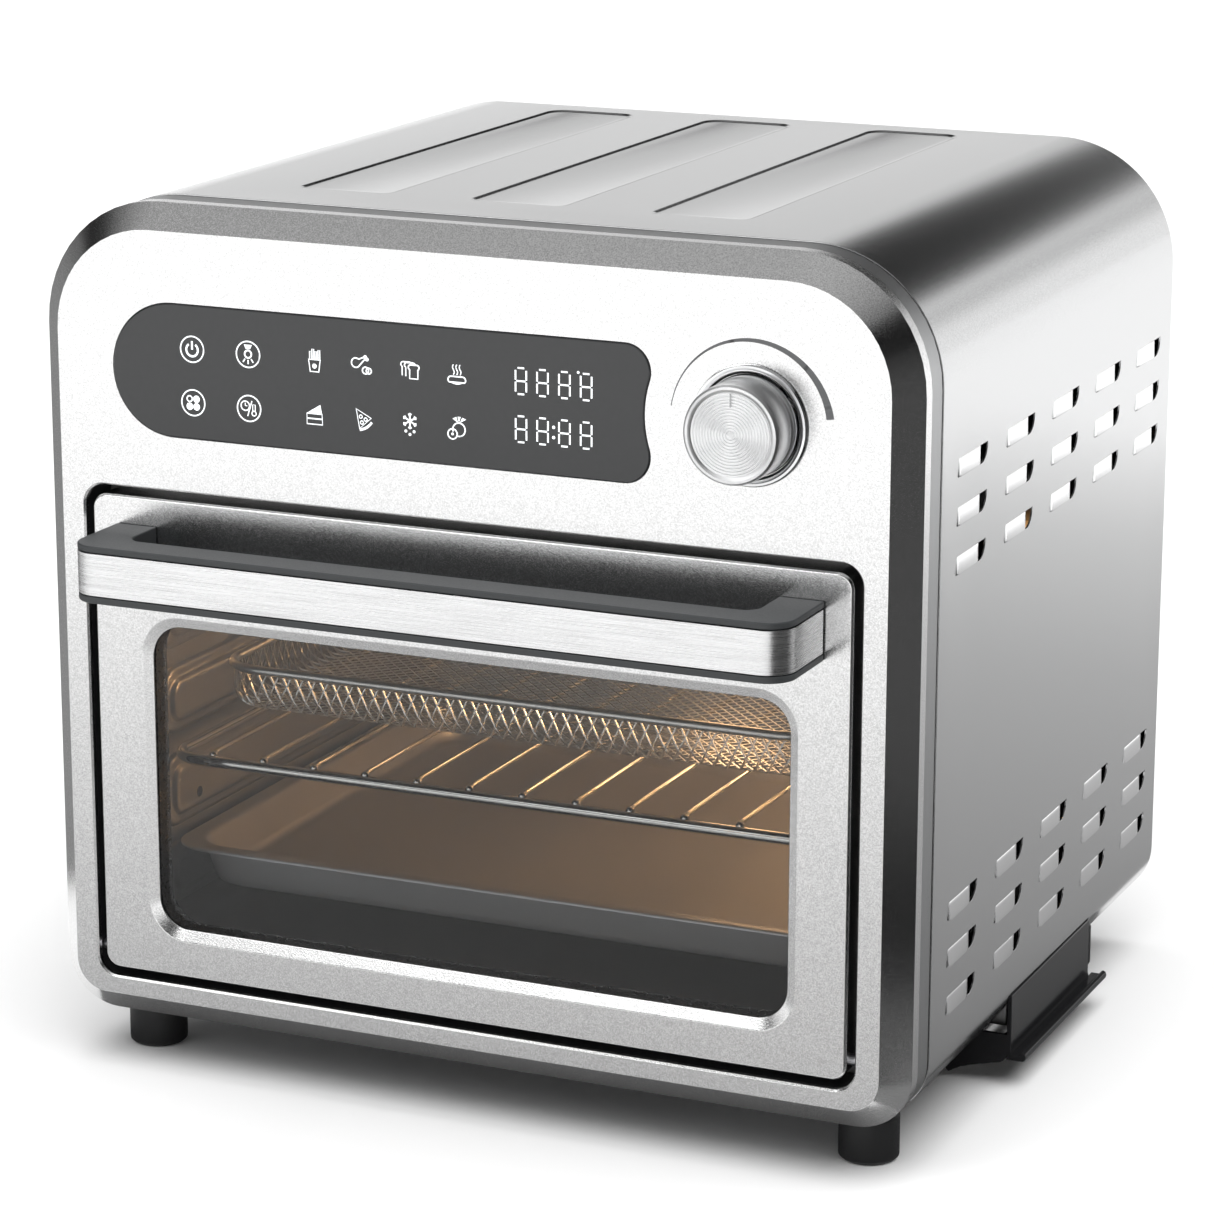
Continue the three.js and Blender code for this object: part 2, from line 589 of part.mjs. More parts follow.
for (const [y, place] of [[foot.front, "front"], [foot.rear, "rear"]]) {
  for (const [x, side] of [[-foot.x, "left"], [foot.x, "right"]]) {
    piece("foot_" + place + "_" + side, turned(
      [[0, 0], [foot.r - 1.5, 0], [foot.r, 1.5], [foot.r, body.bottom - gap], [0, body.bottom - gap]],
      up, x, y, 0, 20,
    ), finish.rubber());
  }
}

// ---- origin: middle of the whole oven's footprint, on the worktop -------------------------------
oven.position.set((body.half + louvre.rise - pull.out) / 2, -(handle.front + rearmost) / 2, 0);

export default oven;
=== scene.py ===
import math

import bmesh
import bpy
from mathutils import Matrix, Vector


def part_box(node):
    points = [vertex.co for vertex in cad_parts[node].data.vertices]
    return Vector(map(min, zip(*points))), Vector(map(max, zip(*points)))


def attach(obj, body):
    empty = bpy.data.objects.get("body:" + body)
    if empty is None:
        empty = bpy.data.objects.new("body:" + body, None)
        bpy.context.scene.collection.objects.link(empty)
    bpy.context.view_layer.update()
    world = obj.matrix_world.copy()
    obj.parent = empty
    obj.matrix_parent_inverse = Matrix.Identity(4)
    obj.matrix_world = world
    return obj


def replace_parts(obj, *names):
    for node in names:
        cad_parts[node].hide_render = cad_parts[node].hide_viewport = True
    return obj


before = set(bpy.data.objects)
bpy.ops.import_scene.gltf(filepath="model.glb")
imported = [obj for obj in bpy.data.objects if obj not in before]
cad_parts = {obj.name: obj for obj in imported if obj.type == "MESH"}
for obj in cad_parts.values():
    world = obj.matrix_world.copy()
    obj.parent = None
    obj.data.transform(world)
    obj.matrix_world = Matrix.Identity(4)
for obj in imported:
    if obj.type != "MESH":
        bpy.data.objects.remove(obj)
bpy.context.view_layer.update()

# ---------------------------------------------------------------------------------------------
# The camera stands a little to the right of the oven and above it, with a long lens, so that the
# front, the right side and a sliver of the top show. Places are given in millimetres from the
# foot of the flat front face, and at() turns them into points of the frame.
fascia_low, fascia_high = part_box("front_frame")
centre_x = (fascia_low.x + fascia_high.x) / 2
front_y = fascia_low.y


def at(x, y, z):
    return Vector((centre_x + x / 1000, front_y + y / 1000, z / 1000))


def put(name, data):
    """A new object in the scene that holds data."""
    made = bpy.data.objects.new(name, data)
    bpy.context.scene.collection.objects.link(made)
    return made


def studio_camera(place, azimuth, elevation, roll, lens):
    data = bpy.data.cameras.new("studio_camera")
    data.lens = lens
    data.sensor_width = 36
    data.clip_start = 0.05
    data.clip_end = 100
    camera = put("studio_camera", data)
    turn, tilt = math.radians(azimuth), math.radians(elevation)
    back = Vector((math.sin(turn) * math.cos(tilt), -math.cos(turn) * math.cos(tilt), math.sin(tilt)))
    right = Vector((math.cos(turn), math.sin(turn), 0))
    up = back.cross(right)
    lean = math.radians(roll)
    right, up = right * math.cos(lean) + up * math.sin(lean), up * math.cos(lean) - right * math.sin(lean)
    camera.matrix_world = Matrix.Translation(place) @ Matrix((right, up, back)).transposed().to_4x4()
    bpy.context.scene.camera = camera


studio_camera(at(624.0, -1280.7, 568.3), azimuth=23.87, elevation=14.70, roll=0.108, lens=123.73)

# ---------------------------------------------------------------------------------------------
# The studio: a white floor and a white tent that turns dark overhead, a wide key light, a softbox,
# and black gauzes that draw the oven's mitred edges. Only reflections see the gauzes.
bpy.context.scene.view_settings.view_transform = "Standard"


def node(material, kind, **settings):
    """A new shader node, with each setting given to its property or to its input socket."""
    made = material.node_tree.nodes.new("ShaderNode" + kind)
    for name, value in settings.items():
        if hasattr(made, name):
            setattr(made, name, value)
        else:
            made.inputs[name.replace("_", " ")].default_value = value
    return made


def link(material, source, output, target, socket):
    material.node_tree.links.new(source.outputs[output], target.inputs[socket])


def shader_of(material):
    return material.node_tree.nodes["Principled BSDF"]


def mix(material, share, output, first, second):
    """Makes the material's surface a mix of two shaders, by the share a node puts out."""
    mixed = node(material, "MixShader")
    link(material, share, output, mixed, 0)
    link(material, first, "BSDF", mixed, 1)
    link(material, second, "BSDF", mixed, 2)
    link(material, mixed, "Shader", material.node_tree.nodes["Material Output"], "Surface")


def ramp(material, stops):
    made = node(material, "ValToRGB")
    elements = made.color_ramp.elements
    elements[0].position, elements[1].position = stops[0][0], stops[-1][0]
    for place, value in stops[1:-1]:
        elements.new(place)
    for element, (place, value) in zip(elements, stops):
        element.color = (value, value, value, 1)
    return made


def studio_world():
    world = bpy.data.worlds.new("tent")
    bpy.context.scene.world = world
    world.use_nodes = True
    background = world.node_tree.nodes["Background"]
    direction = node(world, "TexCoord")
    parts = node(world, "SeparateXYZ")
    height = node(world, "MapRange", From_Min=-1.0, From_Max=1.0)
    tones = [
        (0, 1), (0.55, 1.05), (0.59, 0.66), (0.608, 0.72), (0.624, 1.0),
        (0.645, 0.2), (0.66, 0.01), (0.75, 0.02), (0.9, 0.32), (1, 0.46),
    ]
    tone = ramp(world, tones)
    link(world, direction, "Generated", parts, "Vector")
    link(world, parts, "Z", height, "Value")
    link(world, height, "Result", tone, "Fac")
    link(world, tone, "Color", background, "Color")
    background.inputs["Strength"].default_value = 1.0


def plain_material(name, colour, roughness):
    material = bpy.data.materials.new(name)
    material.use_nodes = True
    shader = shader_of(material)
    shader.inputs["Base Color"].default_value = (*colour, 1)
    shader.inputs["Roughness"].default_value = roughness
    return material


def card(name, centre, width, height, facing, colour, seen):
    """A flat studio card, standing or lying, with its face turned towards facing."""
    mesh = bpy.data.meshes.new(name)
    x, y = width / 2, height / 2
    mesh.from_pydata([(-x, -y, 0), (x, -y, 0), (x, y, 0), (-x, y, 0)], [], [(0, 1, 2, 3)])
    made = put(name, mesh)
    made.matrix_world = Matrix.Translation(centre) @ facing.to_track_quat("Z", "Y").to_matrix().to_4x4()
    mesh.materials.append(plain_material(name, colour, 0.9))
    made.visible_camera = seen
    return made


def shade_card(name, centre, size, facing, stops, along="Y"):
    """A black gauze that only reflections see. stops run along one side, with 0 clear and 1 black."""
    made = card(name, centre, *size, Vector(facing), (0.004, 0.004, 0.004), False)
    made.visible_shadow = False
    made.visible_diffuse = False
    material = made.data.materials[0]
    shader = shader_of(material)
    shader.inputs["Specular IOR Level"].default_value = 0
    place = node(material, "TexCoord")
    parts = node(material, "SeparateXYZ")
    thickness = ramp(material, stops)
    link(material, place, "Generated", parts, "Vector")
    link(material, parts, along, thickness, "Fac")
    mix(material, thickness, "Color", node(material, "BsdfTransparent"), shader)


def softbox(name, place, target, width, height, power):
    data = bpy.data.lights.new(name, "AREA")
    data.shape = "RECTANGLE"
    data.size, data.size_y = width, height
    data.energy = power
    lamp = put(name, data)
    lamp.location = place
    lamp.rotation_euler = (target - place).to_track_quat("-Z", "Y").to_euler()
    return lamp


def sky_light(name, towards, strength, spread):
    """A wide, even light from far away, with no highlight. towards points to the light."""
    data = bpy.data.lights.new(name, "SUN")
    data.energy = strength
    data.angle = math.radians(spread)
    lamp = put(name, data)
    lamp.rotation_euler = (-Vector(towards)).to_track_quat("-Z", "Y").to_euler()
    lamp.visible_glossy = False
    return lamp


studio_world()
floor_place = at(0, 150, 0) - Vector((0, 0, 0.0004))
card("studio_floor", floor_place, 60, 60, Vector((0, 0, 1)), (0.9, 0.9, 0.9), True)
sky_light("wide_key", (0.22, -0.15, 0.96), 3.6, 70)
softbox("key_softbox", at(-900, -1300, 1500), at(0, 100, 150), 1.2, 1.2, 10)
shade_card("right_shade", at(335, -150, 165), (0.6, 0.62), (-1, 0, 0),
           [(0, 0), (0.25, 0.95), (0.75, 0.95), (1, 0)], along="X")
shade_card("corner_shade", at(345, -150, 1.6), (0.34, 0.4), (0, 0, 1), [(0, 0.82), (1, 0.82)])
shade_card("left_shade", at(-335, 110, 150), (0.5, 0.5), (1, 0, 0),
           [(0, 0), (0.35, 0.8), (0.65, 0.8), (1, 0)], along="X")
towards_the_door = [(0, 0.60), (0.13, 0.54), (0.34, 0.40), (0.57, 0.26), (0.75, 0.14), (1, 0)]
shade_card("front_shade", at(-230, -610, 1.5), (1.6, 1.18), (0, 0, 1), towards_the_door)
behind_the_side = [(0, 0.1), (0.2, 0.38), (0.444, 0.56), (0.7, 0.67), (0.88, 0.72), (1, 0.8)]
shade_card("under_shade", at(0, 150, 1.2), (0.35, 0.3), (0, 0, 1), [(0, 0.8), (1, 0.8)])
shade_card("rear_shade", at(640, 620, 1.5), (0.94, 1.18), (0, 0, 1), behind_the_side)

# ---------------------------------------------------------------------------------------------
# The fascia is pressed from one sheet and sprayed a fine sparkling silver. Its flat face has a
# mitred edge all round, a turned-back skirt, and openings for the door, the display and the knob.
class Corners:
    """Corner radii of an upright rounded rectangle."""

    def __init__(self, top, bottom=None):
        self.top = top
        self.bottom = top if bottom is None else bottom


def rounded(half, low, high, y, corners, steps=12):
    """A loop of points, in millimetres, round an upright rounded rectangle at depth y."""
    top, bottom = corners.top, corners.bottom
    turns = [
        (half - bottom, low + bottom, bottom, -90),
        (half - top, high - top, top, 0),
        (-half + top, high - top, top, 90),
        (-half + bottom, low + bottom, bottom, 180),
    ]
    loop = []
    for x, z, radius, start in turns:
        for step in range(steps + 1):
            angle = math.radians(start + 90 * step / steps)
            loop.append((x + radius * math.cos(angle), y, z + radius * math.sin(angle)))
    return loop


def build(name, points, faces, material, sharp=32):
    """A mesh object from points in millimetres, with its faces turned outwards."""
    mesh = bpy.data.meshes.new(name)
    mesh.from_pydata([at(*point) for point in points], [], faces)
    work = bmesh.new()
    work.from_mesh(mesh)
    bmesh.ops.remove_doubles(work, verts=work.verts, dist=1e-6)
    bmesh.ops.recalc_face_normals(work, faces=work.faces)
    work.to_mesh(mesh)
    work.free()
    mesh.shade_smooth()
    mesh.set_sharp_from_angle(angle=math.radians(sharp))
    made = put(name, mesh)
    mesh.materials.append(material)
    return made


def loft(name, loops, material, ends="ring", sharp=32):
    """Skins a row of loops. ends is ring, where the last joins the first, or caps."""
    count = len(loops[0])
    points = [point for loop in loops for point in loop]
    faces = []
    last = len(loops) if ends == "ring" else len(loops) - 1
    for row in range(last):
        here, there = row * count, (row + 1) % len(loops) * count
        for step in range(count):
            after = (step + 1) % count
            faces.append((here + step, here + after, there + after, there + step))
    if ends == "caps":
        faces.append(tuple(range(count))[::-1])
        faces.append(tuple(range((len(loops) - 1) * count, len(loops) * count)))
    return build(name, points, faces, material, sharp)


def soften(piece, width, segments=2, angle=30):
    """Rounds a piece's hard edges by width millimetres."""
    bevel = piece.modifiers.new("edges", "BEVEL")
    bevel.width = width / 1000
    bevel.segments = segments
    bevel.limit_method = "ANGLE"
    bevel.angle_limit = math.radians(angle)
    bevel.harden_normals = True
    return piece


def settle(piece):
    """Applies a piece's modifiers."""
    evaluated = piece.evaluated_get(bpy.context.evaluated_depsgraph_get())
    mesh = bpy.data.meshes.new_from_object(evaluated)
    piece.modifiers.clear()
    piece.data = mesh
    return piece


def carve(piece, *tools):
    """Cuts the tools out of a piece and removes them."""
    for tool in tools:
        cut = piece.modifiers.new("cut", "BOOLEAN")
        cut.operation = "DIFFERENCE"
        cut.solver = "EXACT"
        cut.object = tool
    settle(piece)
    for tool in tools:
        bpy.data.objects.remove(tool)
    piece.data.set_sharp_from_angle(angle=math.radians(32))
    return piece


def prism(name, outline, y0, y1, material):
    """An outline of (x, z) points given depth from y0 to y1."""
    loops = [[(x, y, z) for x, z in outline] for y in (y0, y1)]
    return loft(name, loops, material, "caps")


def arc(x, z, radius, start, end, steps):
    """Points in x and z round an arc, its angles in degrees."""
    angles = [math.radians(start + (end - start) * step / steps) for step in range(steps + 1)]
    return [(x + radius * math.cos(angle), z + radius * math.sin(angle)) for angle in angles]


def finish(name, colour, metallic, roughness, grain, depth, stretch=(1, 1, 1), spread=0.08, tint=0.9):
    """A material whose colour, roughness and bump all follow one fine grain.

    grain is grains to a metre, depth the bump's height in millimetres, and stretch the grain's
    stretch along each axis. spread is how far the roughness strays, and tint darkens the hollows.
    """
    material = plain_material(name, colour, roughness)
    shader = shader_of(material)
    shader.inputs["Metallic"].default_value = metallic
    place = node(material, "TexCoord")
    turn = node(material, "Mapping")
    turn.inputs["Scale"].default_value = stretch
    noise = node(material, "TexNoise", Scale=grain, Detail=3.0, Roughness=0.6)
    link(material, place, "Object", turn, "Vector")
    link(material, turn, "Vector", noise, "Vector")
    gloss = node(material, "MapRange", From_Min=0.25, From_Max=0.75)
    gloss.inputs["To Min"].default_value = max(roughness - spread, 0.01)
    gloss.inputs["To Max"].default_value = roughness + spread
    link(material, noise, "Fac", gloss, "Value")
    link(material, gloss, "Result", shader, "Roughness")
    shade = node(material, "ValToRGB")
    low, high = shade.color_ramp.elements
    low.position, high.position = 0.32, 0.66
    low.color = (*[channel * tint for channel in colour], 1)
    high.color = (*colour, 1)
    link(material, noise, "Fac", shade, "Fac")
    link(material, shade, "Color", shader, "Base Color")
    bump = node(material, "Bump", Strength=1.0, Distance=depth / 1000)
    link(material, noise, "Fac", bump, "Height")
    link(material, bump, "Normal", shader, "Normal")
    return material


def shine(material, colour, strength):
    """Makes a material give light of its own."""
    inputs = shader_of(material).inputs
    inputs["Emission Color"].default_value = (*colour, 1)
    inputs["Emission Strength"].default_value = strength


sparkle_silver = finish("sparkle_silver", (1.0, 1.0, 1.0), 1.0, 0.21, 2200, 0.022, spread=0.06, tint=0.62)
shadow_black = finish("shadow_black", (0.012, 0.012, 0.013), 0.0, 0.6, 900, 0.02)
ring_grey = finish("ring_grey", (0.46, 0.465, 0.47), 1.0, 0.34, 1800, 0.03)

DOOR_HOLE = dict(half=151.5, low=36, high=225.4)
SKIRT = dict(half=169.8, low=20.0, high=329.45)
FLAT = dict(half=160.7, low=29.1, high=320.4)


def inset(box, amount):
    return dict(half=box["half"] - amount, low=box["low"] + amount, high=box["high"] - amount)


KNOB = dict(x=110, z=270)
DISPLAY = dict(x=-113.3, z=270.2, half=24.3, corner=9.5, scoop=39.1)


def display_outline(grow, steps=14):
    """The display's outline: a half-round left end and a right end scooped out round the knob."""
    middle, half = DISPLAY["z"], DISPLAY["half"]
    top, low = middle + half + grow, middle - half - grow
    corner, scoop = DISPLAY["corner"] + grow, DISPLAY["scoop"] - grow
    drop = top - corner - middle
    corner_x = KNOB["x"] - math.sqrt((corner + scoop) ** 2 - drop**2)
    lean = math.degrees(math.atan2(drop, KNOB["x"] - corner_x))
    return (
        arc(corner_x, low + corner, corner, -90, lean, steps)
        + arc(KNOB["x"], middle, scoop, 180 + lean, 180 - lean, steps)[1:-1]
        + arc(corner_x, top - corner, corner, -lean, 90, steps)
        + arc(DISPLAY["x"], middle, half + grow, 90, 270, 2 * steps)
    )


def fascia():
    hole = DOOR_HOLE
    loops = [
        rounded(**SKIRT, y=14.6, corners=Corners(47, 21)),
        rounded(**SKIRT, y=9.0, corners=Corners(47, 21)),
        rounded(**FLAT, y=0, corners=Corners(38, 12)),
        rounded(**inset(hole, -0.7), y=0, corners=Corners(8.7)),
        rounded(**hole, y=0.7, corners=Corners(8)),
        rounded(**hole, y=2.6, corners=Corners(8)),
        rounded(half=158.5, low=31.2, high=318.2, y=2.6, corners=Corners(36, 10)),
        rounded(**inset(SKIRT, 2.2), y=10, corners=Corners(45, 19)),
        rounded(**inset(SKIRT, 2.2), y=14.6, corners=Corners(45, 19)),
    ]
    made = loft("fascia", loops, sparkle_silver)
    knob_hole = arc(KNOB["x"], KNOB["z"], 17.8, 0, 360, 48)[:-1]
    carve(
        made,
        prism("display_cutter", display_outline(0.35), -5, 5, sparkle_silver),
        prism("knob_cutter", knob_hole, -5, 5, sparkle_silver),
    )
    soften(made, 0.35, angle=20)
    return made


def recess_painted_shade():
    """A black sheet round the door's recess, behind the face: painted shade for the deep gap round the door.
    """
    loops = [
        rounded(**inset(DOOR_HOLE, -0.3), y=2.8, corners=Corners(8)),
        rounded(**inset(DOOR_HOLE, -0.3), y=19.0, corners=Corners(8)),
        rounded(**inset(DOOR_HOLE, -1.2), y=19.0, corners=Corners(9)),
        rounded(**inset(DOOR_HOLE, -1.2), y=2.8, corners=Corners(9)),
    ]
    return loft("recess_painted_shade", loops, shadow_black)


def trim_ring():
    """The grey ring between the fascia's skirt and the housing."""
    loops = [
        rounded(**inset(SKIRT, 0.15), y=14.9, corners=Corners(47, 21)),
        rounded(**inset(SKIRT, 0.15), y=25.3, corners=Corners(47, 21)),
        rounded(**inset(SKIRT, 3), y=25.3, corners=Corners(44, 18)),
        rounded(**inset(SKIRT, 3), y=14.9, corners=Corners(44, 18)),
    ]
    return soften(loft("trim_ring", loops, ring_grey), 0.3)


fascia_piece = fascia()
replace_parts(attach(fascia_piece, "chassis"), "front_frame")
for piece in (recess_painted_shade(), trim_ring()):
    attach(piece, "chassis")

# ---------------------------------------------------------------------------------------------
# The housing is one sheet of satin steel, bent over the top and down both sides and turned in
# under the edges. Three long panels are pressed into its top, and its sides carry raised louvres.
HOUSING = dict(front=25.8, rear=296.4, half=170, low=20, high=329.7, sheet=0.8)
PANELS = [-73.3, -4.1, 66.6]
LOUVRE = dict(length=31.5, height=6.6, rise=0.9)

satin_steel = finish("satin_steel", (0.73, 0.733, 0.737), 1.0, 0.17, 2400, 0.006, (1, 0.5, 1), 0.03, 0.82)


def housing_line(inset_by):
    """The housing's section, from one turned-in foot over the top to the other."""
    half, low, high = HOUSING["half"], HOUSING["low"], HOUSING["high"]
    foot_r, top_r = 21, 48
    foot = half - foot_r
    return (
        arc(-foot, low + foot_r, foot_r - inset_by, 270, 180, 12)
        + arc(-half + top_r, high - top_r, top_r - inset_by, 180, 90, 24)
        + arc(half - top_r, high - top_r, top_r - inset_by, 90, 0, 24)
        + arc(foot, low + foot_r, foot_r - inset_by, 0, -90, 12)
    )


def standing(name, outline, z0, z1, material):
    """An outline of (x, y) points given height from z0 to z1."""
    return loft(name, [[(x, y, z) for x, y in outline] for z in (z0, z1)], material, "caps")


def lying_rect(x0, x1, y0, y1, front_r, rear_r, steps=6):
    """An (x, y) outline of a rectangle with its own radii at the front and at the rear."""
    return (
        arc(x1 - front_r, y0 + front_r, front_r, -90, 0, steps)
        + arc(x1 - rear_r, y1 - rear_r, rear_r, 0, 90, steps)
        + arc(x0 + rear_r, y1 - rear_r, rear_r, 90, 180, steps)
        + arc(x0 + front_r, y0 + front_r, front_r, 180, 270, steps)
    )


def level_loop(x0, x1, y0, y1, inset_by, z, front_r, rear_r, steps=6):
    """A loop at one height round a lying rectangle that is drawn in by inset_by."""
    edge = lying_rect(x0 + inset_by, x1 - inset_by, y0 + inset_by, y1 - inset_by, front_r, rear_r, steps)
    return [(x, y, z) for x, y in edge]


def louvre_places():
    """The front lower corner, as (y, z), of each louvre in a side."""
    rows = [top - LOUVRE["height"] for top in (255.3, 238, 220.5, 95, 77.5, 59.7)]
    return [(42 + 52.2 * column, z) for z in rows for column in range(5)]


def louvre_hole(side, y, z):
    """A cutter for the open rear end of a louvre."""
    length, height = LOUVRE["length"], LOUVRE["height"]
    outline = [(y + 18, z), (y + length - 6, z)]
    outline += arc(y + length - 6, z + 6, 6, -90, 0, 8)[1:]
    outline += [(y + length, z + height), (y + 18, z + height)]
    loops = [[(x, across, up) for across, up in outline] for x in (side * 165, side * 175)]
    return loft("louvre_cutter", loops, satin_steel, "caps")


def louvre_hood(side, y, z):
    """Points and faces of one louvre: a flat raised tongue whose rear end dives under the sheet."""
    height, rise = LOUVRE["height"], LOUVRE["rise"]
    along = [(0, -0.1), (0.5, 0.45), (1.6, 1), (19.5, 1), (21.5, 0.75), (28.5, -2.2)]
    across = [(-0.1, 0), (0.3, 0.9), (0.8, 1), (height - 1.1, 0.34), (height - 0.4, 0.24), (height + 0.1, 0)]
    points, faces = [], []
    for under in (0, -0.7):
        for step, lift in along:
            for up, share in across:
                out = rise * (lift * share if lift > 0 else lift) - 0.02 + under
                shift = 0.22 * up * (1 if step > 5 else 0.4)
                points.append((side * (HOUSING["half"] + out), y + step + shift, z + up))
    rows, columns = len(along), len(across)
    half = rows * columns
    for row in range(rows - 1):
        for column in range(columns - 1):
            corner = row * columns + column
            quad = (corner, corner + 1, corner + columns + 1, corner + columns)
            faces += [quad, tuple(index + half for index in quad[::-1])]
    rim = (
        [row * columns for row in range(rows)]
        + [(rows - 1) * columns + column for column in range(1, columns)]
        + [row * columns + columns - 1 for row in range(rows - 2, -1, -1)]
        + list(range(columns - 2, 0, -1))
    )
    for here, there in zip(rim, rim[1:] + rim[:1]):
        faces.append((here, there, there + half, here + half))
    return points, faces


# The louvres' tongues are given a brighter colour than the sheet round them: a painted highlight for the
# light they catch.
louvre_painted_highlight = finish("louvre_painted_highlight", (0.97, 0.97, 0.975), 1.0, 0.15, 2400, 0.004, spread=0.03, tint=0.9)


def louvres(side, name):
    points, faces = [], []
    for y, z in louvre_places():
        hood_points, hood_faces = louvre_hood(side, y, z)
        faces += [tuple(index + len(points) for index in face) for face in hood_faces]
        points += hood_points
    return build(name, points, faces, louvre_painted_highlight, sharp=50)


def together(name, tools):
    """Several cutters joined in one object."""
    work = bmesh.new()
    for tool in tools:
        work.from_mesh(tool.data)
        bpy.data.objects.remove(tool)
    mesh = bpy.data.meshes.new(name)
    work.to_mesh(mesh)
    work.free()
    made = put(name, mesh)
    return made


def housing():
    outline = housing_line(0) + housing_line(HOUSING["sheet"])[::-1]
    made = prism("housing", outline, HOUSING["front"], HOUSING["rear"], satin_steel)
    holes = [louvre_hole(side, y, z) for side in (-1, 1) for y, z in louvre_places()]
    top = HOUSING["high"]
    windows = [
        standing("panel_cutter", lying_rect(x - 18.7, x + 18.7, 57, 283, 4, 7), top - 5, top + 5,
                 satin_steel)
        for x in PANELS
    ]
    notch = standing("notch", lying_rect(150, 180, 117.5, 213.5, 2, 2), 10, 36.2, satin_steel)
    return carve(made, together("hole_cutters", holes), together("window_cutters", windows), notch)


def sunk_panel(index, x):
    """One panel pressed flat into the top, with a crisp wall round it."""
    steps = [(1.6, 0.55), (1.0, 0.46), (0.4, 0.1), (0, 0), (0, 0.8), (1.3, 1.7)]
    loops = [level_loop(x - 18.72, x + 18.72, 56.98, 283.02, inset_by, HOUSING["high"] - depth, 4, 7)
             for inset_by, depth in steps]
    return loft(f"top_panel_{index}", loops, satin_steel, "caps", sharp=60)


housing_piece = soften(housing(), 0.25, angle=40)
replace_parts(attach(housing_piece, "chassis"), "housing_wrap")
for index, x in enumerate(PANELS, 1):
    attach(sunk_panel(index, x), "chassis")
for side, name in ((-1, "louvres_left"), (1, "louvres_right")):
    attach(louvres(side, name), "chassis")

# ---------------------------------------------------------------------------------------------
# The base is a black-coated steel plate with two stiffening ribs pressed in. Four moulded rubber
# feet are screwed up into it.
matt_black = finish("matt_black", (0.022, 0.022, 0.024), 0.0, 0.48, 1400, 0.03, spread=0.1, tint=0.7)
foot_rubber = finish("foot_rubber", (0.016, 0.016, 0.017), 0.0, 0.55, 1100, 0.04, spread=0.1, tint=0.7)


def spun(name, profile, place, direction, material, steps=48, sharp=32):
    """A turned piece. profile is [(radius, distance along direction)] in millimetres."""
    along = Vector(direction).normalized()
    side = along.orthogonal().normalized()
    other = along.cross(side)
    points = []
    for radius, distance in profile:
        for step in range(steps):
            angle = 2 * math.pi * step / steps
            offset = side * math.cos(angle) * radius + other * math.sin(angle) * radius + along * distance
            points.append(tuple(Vector(place) + offset))
    faces = []
    for row in range(len(profile) - 1):
        for step in range(steps):
            after = (step + 1) % steps
            faces.append((row * steps + step, row * steps + after,
                          (row + 1) * steps + after, (row + 1) * steps + step))
    if profile[0] == profile[-1]:
        return build(name, points, faces, material, sharp)
    faces.append(tuple(range(steps)))
    faces.append(tuple(range((len(profile) - 1) * steps, len(profile) * steps)))
    return build(name, points, faces, material, sharp)


def base_pan():
    steps = [(34, 20.6), (32.5, 20.9), (31, 20.05), (0.4, 20.0), (0, 20.3), (0, 20.8), (30.5, 20.9),
             (33, 21.1)]
    loops = [level_loop(-148.4, 148.4, 27, 293, inset_by, z, 3, 3) for inset_by, z in steps]
    return loft("base_pan", loops, matt_black, "caps", sharp=50)


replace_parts(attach(base_pan(), "chassis"), "base_plate")

FOOT_PROFILE = [(0.1, 0.6), (8.2, 0.6), (8.6, 0), (10.2, 0), (10.9, 0.7), (11, 1.4), (11, 15.6),
                (10.5, 16.2), (10.5, 16.8), (11, 17.4), (11, 19.6), (0.1, 19.6)]
for place, y in (("front", 33), ("rear", 258)):
    for side, x in (("left", -145.5), ("right", 145.5)):
        foot = spun(f"foot_{place}_{side}_rubber", FOOT_PROFILE, (x, y, 0), (0, 0, 1), foot_rubber)
        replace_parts(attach(foot, "chassis"), f"foot_{place}_{side}")

# ---------------------------------------------------------------------------------------------
# The back is a black sheet with a pressed border and two banks of louvres over the motor. Four
# cross-headed screws hold it, and the mains lead would leave through its rubber gland.
REAR_Y = 293.8


def rear_panel():
    def ring(inset_by, y):
        corners = Corners(46 - inset_by, 19 - inset_by)
        return rounded(168.4 - inset_by, 21.7 + inset_by, 325.7 - inset_by, y, corners)

    loops = [
        ring(13, REAR_Y + 1.7),
        ring(11.5, REAR_Y + 1.5),
        ring(10, REAR_Y + 0.7),
        ring(0.3, REAR_Y + 0.7),
        ring(0, REAR_Y + 0.4),
        ring(0, REAR_Y),
        ring(10.4, REAR_Y),
        ring(12.6, REAR_Y + 0.9),
    ]
    made = loft("rear_panel", loops, matt_black, "caps", sharp=50)
    slots = []
    for row in range(8):
        z = 238 + 9 * row
        for x in (-38, 38):
            outline = arc(x + 30, z, 2, -90, 90, 6) + arc(x - 30, z, 2, 90, 270, 6)
            slots.append(prism("slot_cutter", outline, REAR_Y - 3, REAR_Y + 5, matt_black))
    gland_outline = arc(118, 62, 7.3, 0, 360, 32)[:-1]
    gland_hole = prism("gland_cutter", gland_outline, REAR_Y - 3, REAR_Y + 5, matt_black)
    return carve(made, together("slot_cutters", slots), gland_hole)


def rear_hoods():
    """A small angled hood over each slot of the back."""
    points, faces = [], []
    for row in range(8):
        for x in (-38, 38):
            first = len(points)
            z = 238 + 9 * row
            for end in (-29, 29):
                points += [(x + end, REAR_Y + 1.4, z + 2.4), (x + end * 0.97, REAR_Y + 3.2, z - 0.4),
                           (x + end * 0.97, REAR_Y + 2.7, z - 0.7), (x + end, REAR_Y + 0.8, z + 2.2)]
            faces += [(first, first + 1, first + 5, first + 4), (first + 1, first + 2, first + 6, first + 5),
                      (first + 2, first + 3, first + 7, first + 6), (first + 3, first, first + 4, first + 7),
                      (first, first + 3, first + 2, first + 1), (first + 4, first + 5, first + 6, first + 7)]
    return soften(build("rear_louvres", points, faces, matt_black), 0.15)


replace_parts(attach(rear_panel(), "chassis"), "rear_cover")
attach(rear_hoods(), "chassis")

